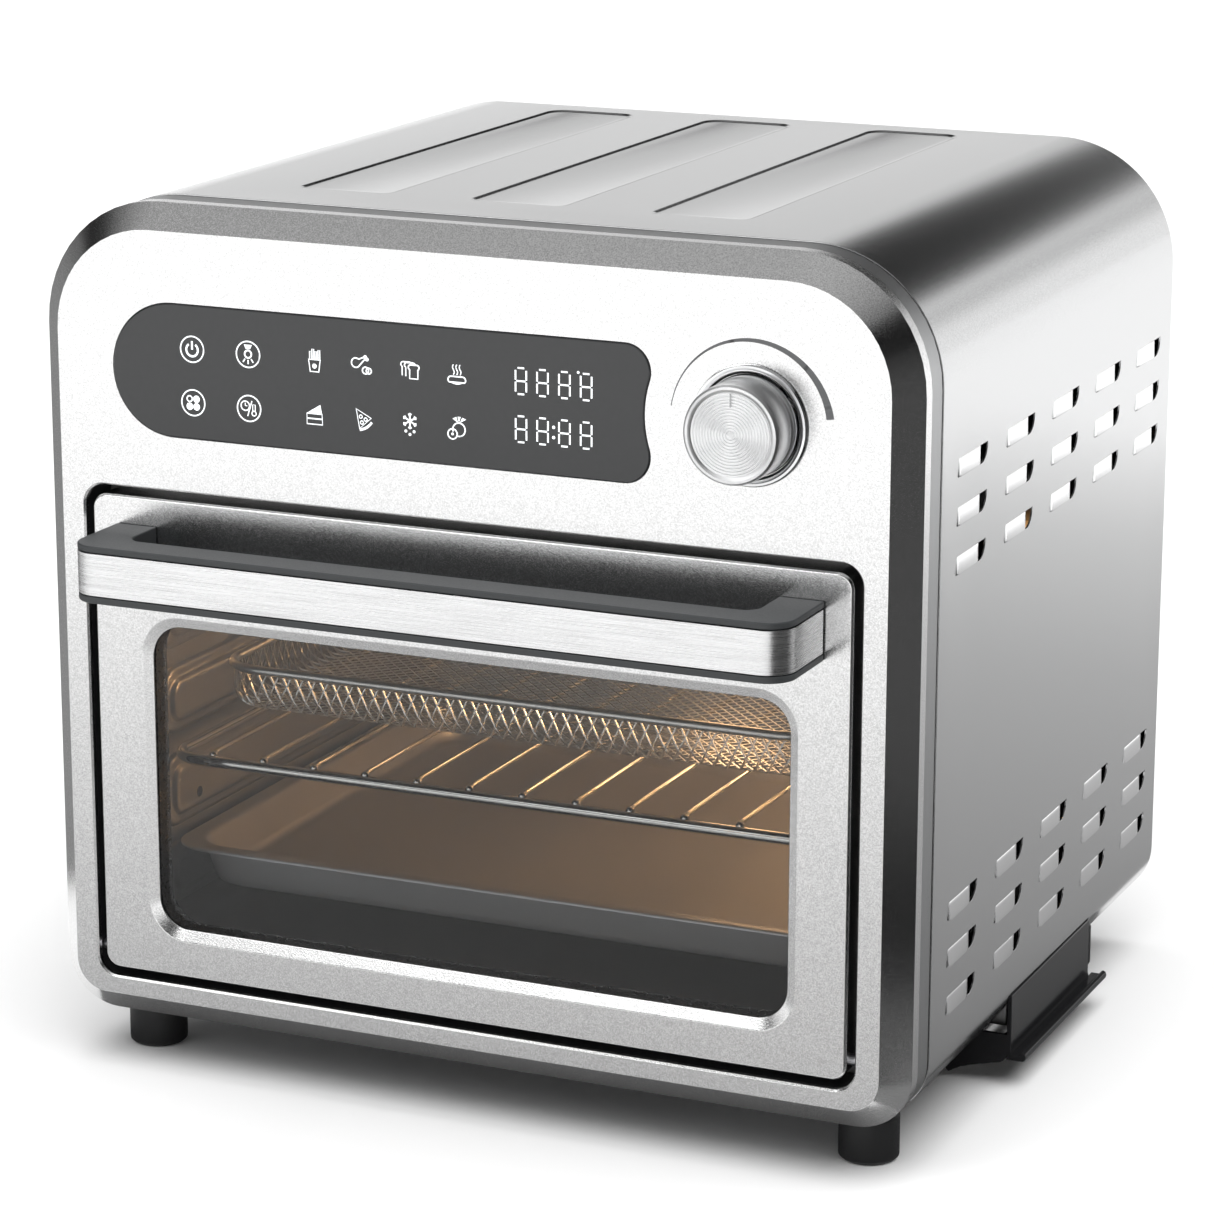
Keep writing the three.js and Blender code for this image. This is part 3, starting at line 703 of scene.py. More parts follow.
GLAND_PROFILE = [(3.6, 0), (6.9, 0), (6.9, 6.3), (10.3, 6.6), (10.5, 7.4), (10.3, 9.2), (8.6, 9.6),
                 (8.4, 10.4), (7.6, 11.6), (6.4, 11.95), (3.6, 11.95), (3.6, 0)]
gland = spun("cord_gland_rubber", GLAND_PROFILE, (118, 290, 62), (0, 1, 0), foot_rubber)
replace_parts(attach(gland, "chassis"), "cord_gland")

zinc = finish("zinc", (0.58, 0.58, 0.6), 1.0, 0.32, 1500, 0.01)


def cross_screw(name, place, direction, reach, head, material=zinc):
    """A pan-head screw with a cross cut in its head. reach is where the head's seat lies."""
    crown = [
        (0.05, -3), (1.4, -3), (1.5, reach), (head, reach), (head, reach + head * 0.3),
        (head * 0.8, reach + head * 0.55), (head * 0.35, reach + head * 0.68), (0.05, reach + head * 0.7),
    ]
    made = spun(name, crown, place, direction, material, steps=24)
    along = Vector(direction)
    side = along.orthogonal().normalized()
    cutters = []
    for blade in (side, along.cross(side)):
        other = along.cross(blade)
        corners = [
            Vector(place) + along * (reach + head * deep)
            + blade * head * far * 0.62 + other * wide * head * 0.12
            for deep in (0.3, 1.2)
            for far, wide in ((-1, -1), (1, -1), (1, 1), (-1, 1))
        ]
        loops = [[tuple(point) for point in corners[:4]], [tuple(point) for point in corners[4:]]]
        cutters.append(loft("cross_cutter", loops, material, "caps"))
    return carve(made, *cutters)


for index, (x, z) in enumerate([(-150, 60), (150, 60), (-150, 280), (150, 280)], 1):
    screw = cross_screw(f"rear_screw_{index}_head", (x, REAR_Y, z), (0, 1, 0), 1.2, 3.4)
    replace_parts(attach(screw, "chassis"), f"rear_screw_{index}")

# ---------------------------------------------------------------------------------------------
# The crumb tray is a folded steel pan, pulled out of the right side by a glossy black moulding
# whose rolled lower lip the fingers catch.
gloss_black = finish("gloss_black", (0.012, 0.012, 0.013), 0.0, 0.16, 700, 0.004, spread=0.05, tint=0.9)
shader_of(gloss_black).inputs["Specular IOR Level"].default_value = 0.35


def pull_parts():
    """The pull's plate, its finger lip, and the belly under it with a cheek at each end."""
    plate = [
        (168.2, 9.8), (169.6, 9.8), (170.0, 10.4), (170.3, 12.9),
        (170.0, 14.0), (169.9, 35.2), (169.3, 35.7), (168.2, 35.7),
    ]
    lip = [
        (169.6, 10.0), (174.6, 10.0), (175.7, 10.6), (175.95, 11.8), (175.6, 13.0), (174.6, 13.5),
        (173.9, 13.2), (173.2, 12.0), (169.6, 12.0),
    ]
    under = arc(163, 13.8, 6, 0, -62, 6) + [(155.2, 5.9), (150.5, 4.5), (145.4, 1.8)]
    belly = under + [
        (145.4, 4.2), (149.9, 6.9), (155.0, 8.3), (161.2, 9.6), (166.4, 14), (166.4, 19.6), (169.0, 19.6),
    ]
    cheek = under + [(140.5, 8.5), (138.4, 19.6), (169.0, 19.6)]
    shell = prism("crumb_pull_belly", belly, 118.2, 212.8, gloss_black)
    cheeks = [
        prism(f"crumb_pull_cheek_{end}", cheek, y0, y1, gloss_black)
        for end, y0, y1 in (("front", 118.0, 120.5), ("rear", 210.5, 213.0))
    ]
    return [
        prism("crumb_pull_plate", plate, 118.0, 213.0, gloss_black),
        prism("crumb_pull_lip", lip, 117.8, 218.6, gloss_black),
        shell,
        *cheeks,
    ]


pull_pieces = [soften(piece, 0.45, segments=3) for piece in pull_parts()]
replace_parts(pull_pieces[0], "crumb_tray_pull")
for piece in pull_pieces:
    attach(piece, "crumb_drawer")


def open_pan(name, x0, x1, y0, y1, low, high, wall, corner, material):
    """A folded pan: floor, sloping walls and a rolled top edge."""
    steps = [
        (1.6, low), (0.3, low + 1.2), (0, high - 0.6), (0.1, high), (wall, high),
        (wall + 0.2, high - 0.8), (wall + 0.5, low + 1.6), (wall + 1.6, low + wall),
    ]
    loops = []
    for inset_by, z in steps:
        r = max(corner - inset_by, 0.4)
        loops.append(level_loop(x0, x1, y0, y1, inset_by, z, r, r))
    return loft(name, loops, material, "caps", sharp=60)


crumb_steel = finish("crumb_steel", (0.6, 0.6, 0.6), 1.0, 0.36, 1200, 0.012, (1, 0.1, 1), 0.08, 0.9)
crumb_pan = open_pan("crumb_pan", -135, 167.8, 121, 210, 21.6, 31.9, 0.8, 2, crumb_steel)
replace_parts(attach(crumb_pan, "crumb_drawer"), "crumb_tray")

# ---------------------------------------------------------------------------------------------
# The door is a pressed silver frame with a sloped edge round its window, a toughened glass pane
# behind it, a black inner frame that clamps the pane, and a silicone seal. It drops on two pins.
DOOR = dict(half=148.5, low=39.3, high=222.2)
WINDOW = dict(half=125.4, low=57.7, high=174.1)
WINDOW_EDGE = dict(half=129.0, low=53.4, high=178.0)

DOOR_LOOPS = [
    (DOOR, 0, 13.8, 6), (DOOR, 0, 0.9, 6), (DOOR, 0.9, 0, 5.1),
    (WINDOW_EDGE, 0, 0, 15.6), (WINDOW, 0, 2.1, 12), (WINDOW, 0, 2.7, 12),
    (DOOR, 2.6, 2.7, 4), (DOOR, 2.6, 13.8, 4),
]
door_loops = [rounded(**inset(box, by), y=y, corners=Corners(r)) for box, by, y, r in DOOR_LOOPS]
door_skin = soften(loft("door_skin", door_loops, sparkle_silver), 0.3, segments=3, angle=12)
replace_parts(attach(door_skin, "door"), "door_frame")


def window_glass(name, tint, gloss):
    """Thin clear glass: it tints what is behind it and mirrors more at a glance."""
    material = plain_material(name, tint, 0.02)
    material.node_tree.nodes.remove(shader_of(material))
    through = node(material, "BsdfTransparent", Color=(*tint, 1))
    mirror = node(material, "BsdfGlossy", Roughness=gloss)
    mix(material, node(material, "Fresnel", IOR=1.45), "Fac", through, mirror)
    return material


def dress(node_name, material):
    """Gives a CAD piece its material."""
    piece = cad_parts[node_name]
    piece.data.materials.clear()
    piece.data.materials.append(material)
    piece.data.shade_smooth()
    piece.data.set_sharp_from_angle(angle=math.radians(32))


door_pane_glass = window_glass("door_pane_glass", (0.90, 0.905, 0.905), 0.01)
dress("door_glass", door_pane_glass)
dress("door_inner_frame", finish("inner_enamel", (0.03, 0.03, 0.032), 0.0, 0.3, 900, 0.02, tint=0.8))
dress("door_gasket", finish("seal_silicone", (0.03, 0.03, 0.032), 0.0, 0.6, 1300, 0.03, tint=0.7))
for side in ("left", "right"):
    dress(f"door_spring_{side}", zinc)
    dress(f"hinge_pin_{side}", zinc)
    dress(f"hinge_bracket_{side}", matt_black)
    x = 129.8 if side == "right" else -129.8
    screw = cross_screw(f"handle_screw_{side}_head", (x, -8.6, 201), (0, 1, 0), 11.5, 3.8)
    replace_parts(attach(screw, "door"), f"handle_screw_{side}")

# ---------------------------------------------------------------------------------------------
# The handle is a charcoal moulding with two short arms. A brushed steel strip is wrapped round
# its front between two plastic lips and ends in a fine seam close to the door.
HANDLE = dict(half=138, front=-36, r=10.5)
STRIP = dict(low=193.5, high=209, end=-1.2)

handle_charcoal = finish(
    "handle_charcoal", (0.036, 0.039, 0.041), 0.0, 0.42, 2000, 0.02, spread=0.06, tint=0.85
)
strip_steel = finish(
    "strip_steel", (0.95, 0.95, 0.955), 1.0, 0.28, 3200, 0.012,
    stretch=(0.012, 0.012, 1), spread=0.1, tint=0.72,
)
BEND_STEPS = 14


def loop_outline(outer_by, back, inner):
    """The handle seen from above. outer_by draws in the outer side; inner is (half, front, radius)."""
    half, front, r = HANDLE["half"] - outer_by, HANDLE["front"] + outer_by, HANDLE["r"] - outer_by
    inner_half, inner_front, inner_r = inner
    return (
        [(-half, back)]
        + arc(-half + r, front + r, r, 180, 270, BEND_STEPS)
        + arc(half - r, front + r, r, 270, 360, BEND_STEPS)
        + [(half, back), (inner_half, back)]
        + arc(inner_half - inner_r, inner_front + inner_r, inner_r, 0, -90, BEND_STEPS)
        + arc(-inner_half + inner_r, inner_front + inner_r, inner_r, -90, -180, BEND_STEPS)
        + [(-inner_half, back)]
    )


def layered(name, layers, material, sharp=32):
    """Stacks (x, y) outlines, each at its own height."""
    return loft(name, [[(x, y, z) for x, y in outline] for outline, z in layers], material, "caps", sharp)


def handle_bar():
    inside = (121.5, -22, 6)
    full, core = loop_outline(0, -0.35, inside), loop_outline(1.15, -0.35, inside)
    layers = [(full, 190.6), (full, 193.2), (core, 193.2), (core, 209.3), (full, 209.3), (full, 211.7)]
    return soften(layered("handle_moulding", layers, handle_charcoal), 0.6, segments=3)


def handle_strip():
    band = loop_outline(0, STRIP["end"], (137.1, -35.1, 9.6))
    return soften(layered("handle_band", [(band, STRIP["low"]), (band, STRIP["high"])], strip_steel), 0.2)


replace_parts(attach(handle_bar(), "door"), "handle_bar")
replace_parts(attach(handle_strip(), "door"), "handle_strip")

# ---------------------------------------------------------------------------------------------
# The display is one smoked glass, glued into its opening in the fascia. Symbols and two rows of
# digits, printed white on its back, are lit from behind.
smoked = finish("smoked_glass", (0.03, 0.031, 0.032), 0.0, 0.12, 400, 0.001, spread=0.02, tint=0.95)


def display_pane():
    loops = [[(x, y, z) for x, z in display_outline(grow)] for grow, y in ((0, 2), (0, -0.1), (-0.35, -0.4))]
    return loft("display_pane", loops, smoked, "caps", sharp=20)


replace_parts(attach(display_pane(), "chassis"), "display_glass")

symbol_white = finish("symbol_white", (0.9, 0.92, 0.93), 0.0, 0.5, 1500, 0.001, spread=0.02, tint=0.97)
shine(symbol_white, (0.93, 0.96, 1), 0.55)


class Drawing:
    """Flat strokes and fills on the front plane, gathered into one thin mesh."""

    def __init__(self, x, z, y=-0.41, thick=0.05):
        self.x, self.z, self.y, self.thick = x, z, y, thick
        self.points, self.faces = [], []

    def fill(self, outline):
        """A filled outline, given in order round it."""
        first, count = len(self.points), len(outline)
        for y in (self.y - self.thick, self.y):
            self.points += [(self.x + u, y, self.z + v) for u, v in outline]
        self.faces.append(tuple(range(first, first + count)))
        self.faces.append(tuple(range(first + 2 * count - 1, first + count - 1, -1)))
        for step in range(count):
            after = (step + 1) % count
            self.faces.append((first + after, first + step, first + count + step, first + count + after))
        return self

    def line(self, path, width=0.45, closed=False):
        """A stroke of even width along a path, mitred at its corners."""
        count = len(path)
        left, right = [], []
        for step, (u, v) in enumerate(path):
            before = path[step - 1] if step or closed else path[0]
            after = path[(step + 1) % count] if step < count - 1 or closed else path[-1]
            run = Vector((after[0] - before[0], after[1] - before[1])).normalized()
            side = Vector((-run.y, run.x)) * width / 2
            left.append((u + side.x, v + side.y))
            right.append((u - side.x, v - side.y))
        spans = range(count if closed else count - 1)
        for step in spans:
            after = (step + 1) % count
            self.fill([left[step], right[step], right[after], left[after]])
        return self

    def ring(self, u, v, radius, width=0.45, start=0, end=360, steps=28):
        path = arc(u, v, radius, start, end, steps)
        whole = end - start >= 360
        return self.line(path[:-1] if whole else path, width, closed=whole)

    def dot(self, u, v, radius, steps=16):
        return self.fill(arc(u, v, radius, 0, 360, steps)[:-1])

    def piece(self, name, material, slot):
        made = build(name, self.points, self.faces, material)
        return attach(made, "chassis")


def symbol_power(d):
    d.ring(0, -0.2, 2.35, 0.75, 125, 415).line([(0, -0.1), (0, 3.0)], 0.75)


def symbol_lamp(d):
    d.fill([(-1.6, 3.5), (1.6, 3.5), (0.9, 2.0), (-0.9, 2.0)]).ring(0, 0.1, 1.35, 0.6)
    for angle in (235, 270, 305):
        u, v = math.cos(math.radians(angle)), math.sin(math.radians(angle))
        d.line([(2.1 * u, 0.1 + 2.1 * v), (3.6 * u, 0.1 + 3.6 * v)], 0.5)


def symbol_menu(d):
    d.ring(-1.45, 1.4, 1.05, 0.5)
    for u, v in ((1.35, 1.4), (-1.45, -1.4), (1.35, -1.4)):
        d.dot(u, v, 1.35)


def symbol_time_heat(d):
    d.ring(-1.5, 0.9, 1.7, 0.45).line([(-1.5, 2), (-1.5, 0.9), (-0.7, 0.9)], 0.35)
    d.line([(-0.6, -2.8), (1.2, 2.8)], 0.45).ring(2.0, -1.7, 0.85, 0.4)
    d.line([(1.5, -1.0), (1.5, 1.5), (2.5, 1.5), (2.5, -1.0)], 0.35)


def symbol_fries(d):
    d.line([(-2.3, 0.3), (-1.7, -4.0), (1.7, -4.0), (2.3, 0.3)], 0.5, closed=True).dot(0, -2.0, 0.9)
    for u, top in ((-1.9, 3.2), (-0.9, 4.1), (0.3, 3.3), (1.5, 3.8)):
        d.line([(u, 0.5), (u, top), (u + 0.7, top), (u + 0.7, 0.5)], 0.35)


def symbol_drumstick(d):
    leg = arc(-1.9, 0.6, 1.7, 60, 330, 16) + [(0.6, 0.9), (1.8, 2.2), (1.1, 2.7), (-0.6, 2.0)]
    d.line(leg, 0.5, closed=True)
    d.dot(1.8, 2.9, 0.7).dot(2.5, 2.1, 0.7).ring(1.9, -1.9, 1.2, 0.5).ring(3.2, -2.0, 1.0, 0.5)


def symbol_bread(d):
    crust = arc(-1.2, 1.1, 0.9, 220, 90, 6) + arc(1.2, 1.1, 0.9, 90, -40, 6)
    slice_line = [(-1.6, -2.9), (-1.6, 0.3), *crust, (1.6, 0.3), (1.6, -2.9)]
    d.line([(u + 1.7, v - 0.4) for u, v in slice_line], 0.5, closed=True)
    for shift in (0.2, -1.2):
        d.line([(u + shift, v + 0.35 - shift * 0.15) for u, v in slice_line[:14]], 0.45)


def symbol_steak(d):
    d.line(arc(-2.2, -1.6, 1.2, 90, 225, 8) + arc(2.2, -1.6, 1.2, -45, 90, 8), 0.5, closed=True)
    d.line(arc(0, 1.4, 4.4, 242, 298, 10), 0.4)
    for u in (-1.3, 0, 1.3):
        d.line([(u + 0.35 * math.sin(step * 0.9), 0.2 + step * 0.52) for step in range(8)], 0.4)


def symbol_cake(d):
    d.fill([(-3.1, 0.3), (2.3, 3.6), (2.9, 0.3)])
    d.line([(-3.1, -3.6), (3.1, -3.6), (2.9, 0.2), (-3.1, 0.2)], 0.45, True)
    d.line([(-3.0, -1.6), (3.0, -1.6)], 0.5)


def symbol_pizza(d):
    d.line([(-2.8, 3.6), (-1.5, -3.4), (3.1, 0.6)], 0.5, closed=True)
    d.line(arc(-2.8, 3.6, 7.6, -80, -36, 10), 0.9)
    for u, v in ((-1.0, 0.9), (-0.6, -1.2), (0.9, 0.0)):
        d.ring(u, v, 0.6, 0.35)


def symbol_frost(d):
    for turn in range(6):
        angle = math.radians(60 * turn + 30)
        u, v = math.cos(angle), math.sin(angle)
        d.line([(0, 1.0), (2.9 * u, 1.0 + 2.9 * v)], 0.55)
        for lean in (-0.6, 0.6):
            tip = (1.7 * u + 1.1 * math.cos(angle + lean), 1.0 + 1.7 * v + 1.1 * math.sin(angle + lean))
            d.line([(1.7 * u, 1.0 + 1.7 * v), tip], 0.4)
    for u, v in ((-1.6, -2.7), (1.6, -2.7), (0, -3.8)):
        d.dot(u, v, 0.55)


def symbol_fruit(d):
    d.ring(0.9, -0.4, 2.4, 0.5, -110, 200).ring(-1.6, -2.1, 1.8, 0.5).dot(-1.6, -2.1, 0.5)
    d.fill([(0.5, 2.1), (-1.6, 3.4), (-0.1, 4.1)]).fill([(0.9, 2.1), (0.4, 4.2), (1.6, 4.2)])
    d.fill([(1.3, 2.1), (2.2, 4.0), (3.7, 3.4)])


SYMBOLS = {
    "power": (symbol_power, -104.9, 278.7, True), "lamp": (symbol_lamp, -82.2, 278.7, True),
    "menu": (symbol_menu, -104.9, 259.2, True), "time_heat": (symbol_time_heat, -82.2, 259.1, True),
    "fries": (symbol_fries, -55.6, 278.7, False), "drumstick": (symbol_drumstick, -37.3, 278.7, False),
    "bread": (symbol_bread, -18.2, 278.7, False), "steak": (symbol_steak, 0.2, 278.0, False),
    "cake": (symbol_cake, -55.8, 259.3, False), "pizza": (symbol_pizza, -36.5, 259.2, False),
    "frost": (symbol_frost, -18.2, 259.2, False), "fruit": (symbol_fruit, 0, 259.2, False),
}
for name, (draw, x, z, ringed) in SYMBOLS.items():
    drawing = Drawing(x, z)
    if ringed:
        drawing.ring(0, 0, 4.7, 0.5, steps=40)
    draw(drawing)
    drawing.piece(f"symbol_{name}", symbol_white, "display_glass")

DIGIT_X = (24.8, 33.0, 41.3, 49.5)


def digit_eight(d, u, v):
    """A seven-segment eight with all its bars lit."""
    wide, tall, cut = 2.05, 4.6, 0.8
    for lift in (0, tall):
        low, high = v - tall + lift, v + lift
        bottom_cut, top_cut = (cut, 0.35) if lift == 0 else (0.35, cut)
        d.line([(u - wide + bottom_cut, low), (u + wide - bottom_cut, low)], 0.62)
        d.line([(u + wide, low + bottom_cut), (u + wide, high - top_cut)], 0.62)
        d.line([(u - wide, low + bottom_cut), (u - wide, high - top_cut)], 0.62)
    d.line([(u - wide + cut, v + tall), (u + wide - cut, v + tall)], 0.62)


upper_digits, lower_digits = Drawing(0, 278.1), Drawing(0, 261.1)
for x in DIGIT_X:
    digit_eight(upper_digits, x, 0)
    digit_eight(lower_digits, x, 0)
upper_digits.dot(46.5, 4.9, 0.5).piece("digits_upper", symbol_white, "display_glass")
lower_digits.dot(37.2, 1.8, 0.6).dot(37.2, -1.8, 0.6).piece("digits_lower", symbol_white, "display_glass")

# ---------------------------------------------------------------------------------------------
# The knob is turned from bright metal, with rings cut in its face and a short pointer line. It
# sits in a chromed collar, inside a printed scale that thickens clockwise.
def turned_metal(name, colour, roughness):
    """Bright lathe-turned metal, whose cut rings spread its highlights into a fan."""
    material = finish(name, colour, 1.0, roughness, 2400, 0.003, spread=0.03, tint=0.96)
    shader = shader_of(material)
    shader.inputs["Anisotropic"].default_value = 0.97
    tangent = node(material, "Tangent", direction_type="RADIAL", axis="Y")
    link(material, tangent, "Tangent", shader, "Tangent")
    return material


knob_bright = turned_metal("knob_bright", (0.93, 0.935, 0.94), 0.34)
chrome = finish("chrome_plate", (0.86, 0.865, 0.87), 1.0, 0.07, 900, 0.001, spread=0.02, tint=0.97)


def knob_profile():
    profile = [(0.05, 17.55)]
    for cut in range(13):
        radius = 0.7 + 1.08 * cut
        profile += [(radius, 17.7), (radius + 0.5, 17.7), (radius + 0.68, 17.4), (radius + 0.88, 17.4)]
    return profile + [(15.0, 17.7), (15.6, 18.0), (16.5, 17.95), (17.2, 17.4), (17.4, 16.6), (17.4, 12),
                      (17.35, 6.2), (17.0, 5.7), (17.0, 4.8), (17.5, 4.3), (17.55, 1.4), (0.05, 1.4)]


def knob():
    made = spun("knob", knob_profile()[::-1], (KNOB["x"], 0, KNOB["z"]), (0, -1, 0), knob_bright, 96, 25)
    centre = at(KNOB["x"], 0, KNOB["z"])
    made.data.transform(Matrix.Translation(-centre))
    made.location = centre
    return made


knob_piece = knob()
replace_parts(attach(knob_piece, "knob"), "knob_cap")
pointer = Drawing(KNOB["x"], KNOB["z"], y=-17.98, thick=0.06)
pointer.fill([(-0.22, 9.6), (0.22, 9.6), (0.22, 14.4), (-0.22, 14.4)])
pointer_piece = build("knob_pointer", pointer.points, pointer.faces, ring_grey)
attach(pointer_piece, "knob")
dress("encoder_shaft", zinc)

COLLAR_PROFILE = [
    (18.0, 0.3), (21.3, 0.3), (21.25, 1.0), (20.7, 1.75), (19.9, 1.8),
    (19.3, 1.35), (18.9, 1.3), (18.5, 0.8), (18.0, 0.6), (18.0, 0.3),
]
collar = spun("knob_collar", COLLAR_PROFILE, (KNOB["x"], 0, KNOB["z"]), (0, -1, 0), chrome, 96, 40)
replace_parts(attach(collar, "chassis"), "knob_ring")


def scale_print():
    """A crescent from a hair line on the left to a thick end on the right."""
    steps = 60
    outer, inner = [], []
    for step in range(steps + 1):
        share = step / steps
        angle = math.radians(171.5 + (8.8 - 171.5) * share)
        width = 0.3 + 2.5 * share**1.3
        for side, radius in ((outer, 29.3 + width / 2), (inner, 29.3 - width / 2)):
            side.append((radius * math.cos(angle), radius * math.sin(angle)))
    drawing = Drawing(KNOB["x"], KNOB["z"], y=-0.01, thick=0.04)
    for step in range(steps):
        drawing.fill([outer[step], outer[step + 1], inner[step + 1], inner[step]])
    return build("knob_scale", drawing.points, drawing.faces, scale_ink)


scale_ink = finish("scale_ink", (0.12, 0.122, 0.125), 0.0, 0.4, 1500, 0.004, tint=0.9)
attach(scale_print(), "chassis")

# ---------------------------------------------------------------------------------------------
# The cooking chamber is drawn from bright aluminised steel, with a flange round its mouth. Pressed
# panels stand into both sides, and the channels between them carry the basket, rack and tray.
CHAMBER = dict(half=141, low=48, high=214.5)
FLANGE = dict(half=158, low=33, high=228)

liner_steel = finish("liner_steel", (0.42, 0.415, 0.405), 0.85, 0.33, 900, 0.0008, (1, 0.5, 1), 0.03, 0.94)


def chamber():
    loops = [
        rounded(**inset(CHAMBER, 3), y=267.9, corners=Corners(6)),
        rounded(**inset(CHAMBER, 0.8), y=266.8, corners=Corners(8)),
        rounded(**CHAMBER, y=264.4, corners=Corners(9)),
        rounded(**CHAMBER, y=21.0, corners=Corners(9)),
        rounded(**inset(CHAMBER, -1), y=19.7, corners=Corners(10)),
        rounded(**FLANGE, y=19.6, corners=Corners(6)),
        rounded(**FLANGE, y=20.3, corners=Corners(6)),
        rounded(**inset(CHAMBER, -0.8), y=20.6, corners=Corners(10)),
        rounded(**inset(CHAMBER, -0.8), y=268.7, corners=Corners(10)),
    ]
    made = loft("chamber", loops, liner_steel, "caps")
    lamp_hole = [(0.1, 0), (14, 0), (14, 20), (0.1, 20)]
    probe_hole = [(0.1, 0), (2.3, 0), (2.3, 15), (0.1, 15)]
    cutters = [
        standing("roof_cutter", arc(0, 145, 88, 0, 360, 72)[:-1], 200, 230, liner_steel),
        standing("floor_cutter", lying_rect(-130, 130, 124, 207, 5, 5), 40, 54, liner_steel),
        spun("lamp_cutter", lamp_hole, (130, 225, 183), (1, 0, 0), liner_steel),
        spun("probe_cutter", probe_hole, (-60, 260, 195), (0, 1, 0), liner_steel),
    ]
    return carve(made, *cutters)


PRESSED = [(53, 77.4, 9), (83.2, 112.2, 10), (120.1, 146.4, 10), (153.1, 209, 11)]


def pressed_panel(side, low, high, corner, name):
    """A side panel that swells out of the wall with a rounded border and a flat middle."""
    swell = [
        (0, 0.2), (0.1, -0.1), (0.5, -1.0), (1.4, -1.6), (2.6, -1.75),
        (4.2, -1.8), (4.8, -2.1), (5.4, -3.0), (6.4, -3.45), (8, -3.5),
    ]
    loops = []
    for inset_by, rise in swell:
        r = max(corner - inset_by * 0.7, 1)
        edge = lying_rect(32 + inset_by, 258 - inset_by, low + inset_by, high - inset_by, r, r, 8)
        loops.append([(side * (CHAMBER["half"] + rise), y, z) for y, z in edge])
    return loft(name, loops, liner_steel, "caps", sharp=70)


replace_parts(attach(chamber(), "chassis"), "cavity_liner")
for side, word in ((-1, "left"), (1, "right")):
    for level, (low, high, corner) in enumerate(PRESSED, 1):
        panel = pressed_panel(side, low, high, corner, f"pressed_panel_{word}_{level}")
        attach(panel, "chassis")
        if level == 2:
            # Each stop hole is drawn as a thin black disc on the panel: painted shade standing in for the
            # dark hole.
            stop_hole_shade = spun(f"stop_hole_shade_{word}", [(0.05, -0.25), (1.7, -0.25), (2.1, 0.12), (0.05, 0.12)],
                             (side * 137.6, 54.7, 93.8), (-side, 0, 0), shadow_black, 24)
            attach(stop_hole_shade, "chassis")

# ---------------------------------------------------------------------------------------------
# The frying basket is expanded steel mesh, folded up at the edges and hung from a heavy wire rim.
# Four short ears on the rim run in the chamber's upper channels.
class Wirework:
    """Round or flat wires along paths, gathered into one mesh."""

    def __init__(self):
        self.points, self.faces = [], []

    def run(self, path, radius, sides=6, closed=False, flat=1.0):
        """One wire. flat squashes its section towards the way it stands up."""
        points = [Vector(point) for point in path]
        first, count = len(self.points), len(points)
        for step, point in enumerate(points):
            before = points[step - 1] if step or closed else point
            after = points[(step + 1) % count] if step < count - 1 or closed else point
            along = (after - before).normalized()
            side = along.cross(Vector((0, 0, 1)))
            side = side.normalized() if side.length > 0.05 else along.cross(Vector((0, 1, 0))).normalized()
            other = along.cross(side).normalized()
            for turn in range(sides):
                angle = 2 * math.pi * (turn + 0.5) / sides
                offset = side * math.cos(angle) * radius + other * math.sin(angle) * radius * flat
                self.points.append(tuple(point + offset))
        for step in range(count if closed else count - 1):
            here, there = first + step * sides, first + (step + 1) % count * sides
            for turn in range(sides):
                after = (turn + 1) % sides
                self.faces.append((here + turn, here + after, there + after, there + turn))
        if not closed:
            self.faces.append(tuple(range(first, first + sides)))
            self.faces.append(tuple(range(first + (count - 1) * sides, first + count * sides)))
        return self

    def piece(self, name, material, sharp=50):
        return build(name, self.points, self.faces, material, sharp)


BASKET = dict(half=119.4, front=40.6, rear=249.4, corner=15.5, floor=133.1, rim=149.5)
FLOOR_INSET = 6.6
RACK_Z = 115.6

basket_wire = finish("basket_wire", (0.72, 0.71, 0.69), 1.0, 0.3, 1600, 0.002, spread=0.03)


def around_basket(step_mm):
    """Evenly spaced (x, y) points round the basket's wall, and the true step between them."""
    b = BASKET
    edge = lying_rect(-b["half"], b["half"], b["front"], b["rear"], b["corner"], b["corner"], 24)
    edge.append(edge[0])
    runs = [math.dist(here, there) for here, there in zip(edge, edge[1:])]
    count = 2 * round(sum(runs) / step_mm / 2)
    step = sum(runs) / count
    places, travelled, index = [], 0.0, 0
    for number in range(count):
        wanted = number * step
        while travelled + runs[index] < wanted:
            travelled += runs[index]
            index += 1
        share = (wanted - travelled) / runs[index]
        here, there = edge[index], edge[index + 1]
        places.append((here[0] + (there[0] - here[0]) * share, here[1] + (there[1] - here[1]) * share))
    return places


def wall_drop(share):
    """How far in and how high a strand of the wall lies, from the floor's edge up to the rim."""
    turn = math.radians(90 * min(share / 0.55, 1))
    rise = max(share - 0.55, 0) / 0.45
    low, knee = BASKET["floor"], BASKET["floor"] + 7
    return 7 * (1 - math.sin(turn)), low + 7 * (1 - math.cos(turn)) + rise * (BASKET["rim"] - knee)


def from_core(point):
    """The nearest (x, y) point inside the basket's rounded corners, and the way from it to point."""
    b = BASKET
    inner_x = b["half"] - b["corner"]
    inner_front, inner_rear = b["front"] + b["corner"], b["rear"] - b["corner"]
    core = Vector((min(max(point[0], -inner_x), inner_x), min(max(point[1], inner_front), inner_rear)))
    return core, Vector(point) - core


def drawn_in(point, amount):
    """Moves an (x, y) point of the basket's wall towards its middle by amount."""
    core, away = from_core(point)
    return tuple(Vector(point) - away.normalized() * amount)


def clip_corner(point):
    """Draws a point outside a rounded corner of the basket's floor back onto it."""
    radius = BASKET["corner"] - FLOOR_INSET
    core, away = from_core(point)
    return point if away.length <= radius else tuple(core + away.normalized() * radius)


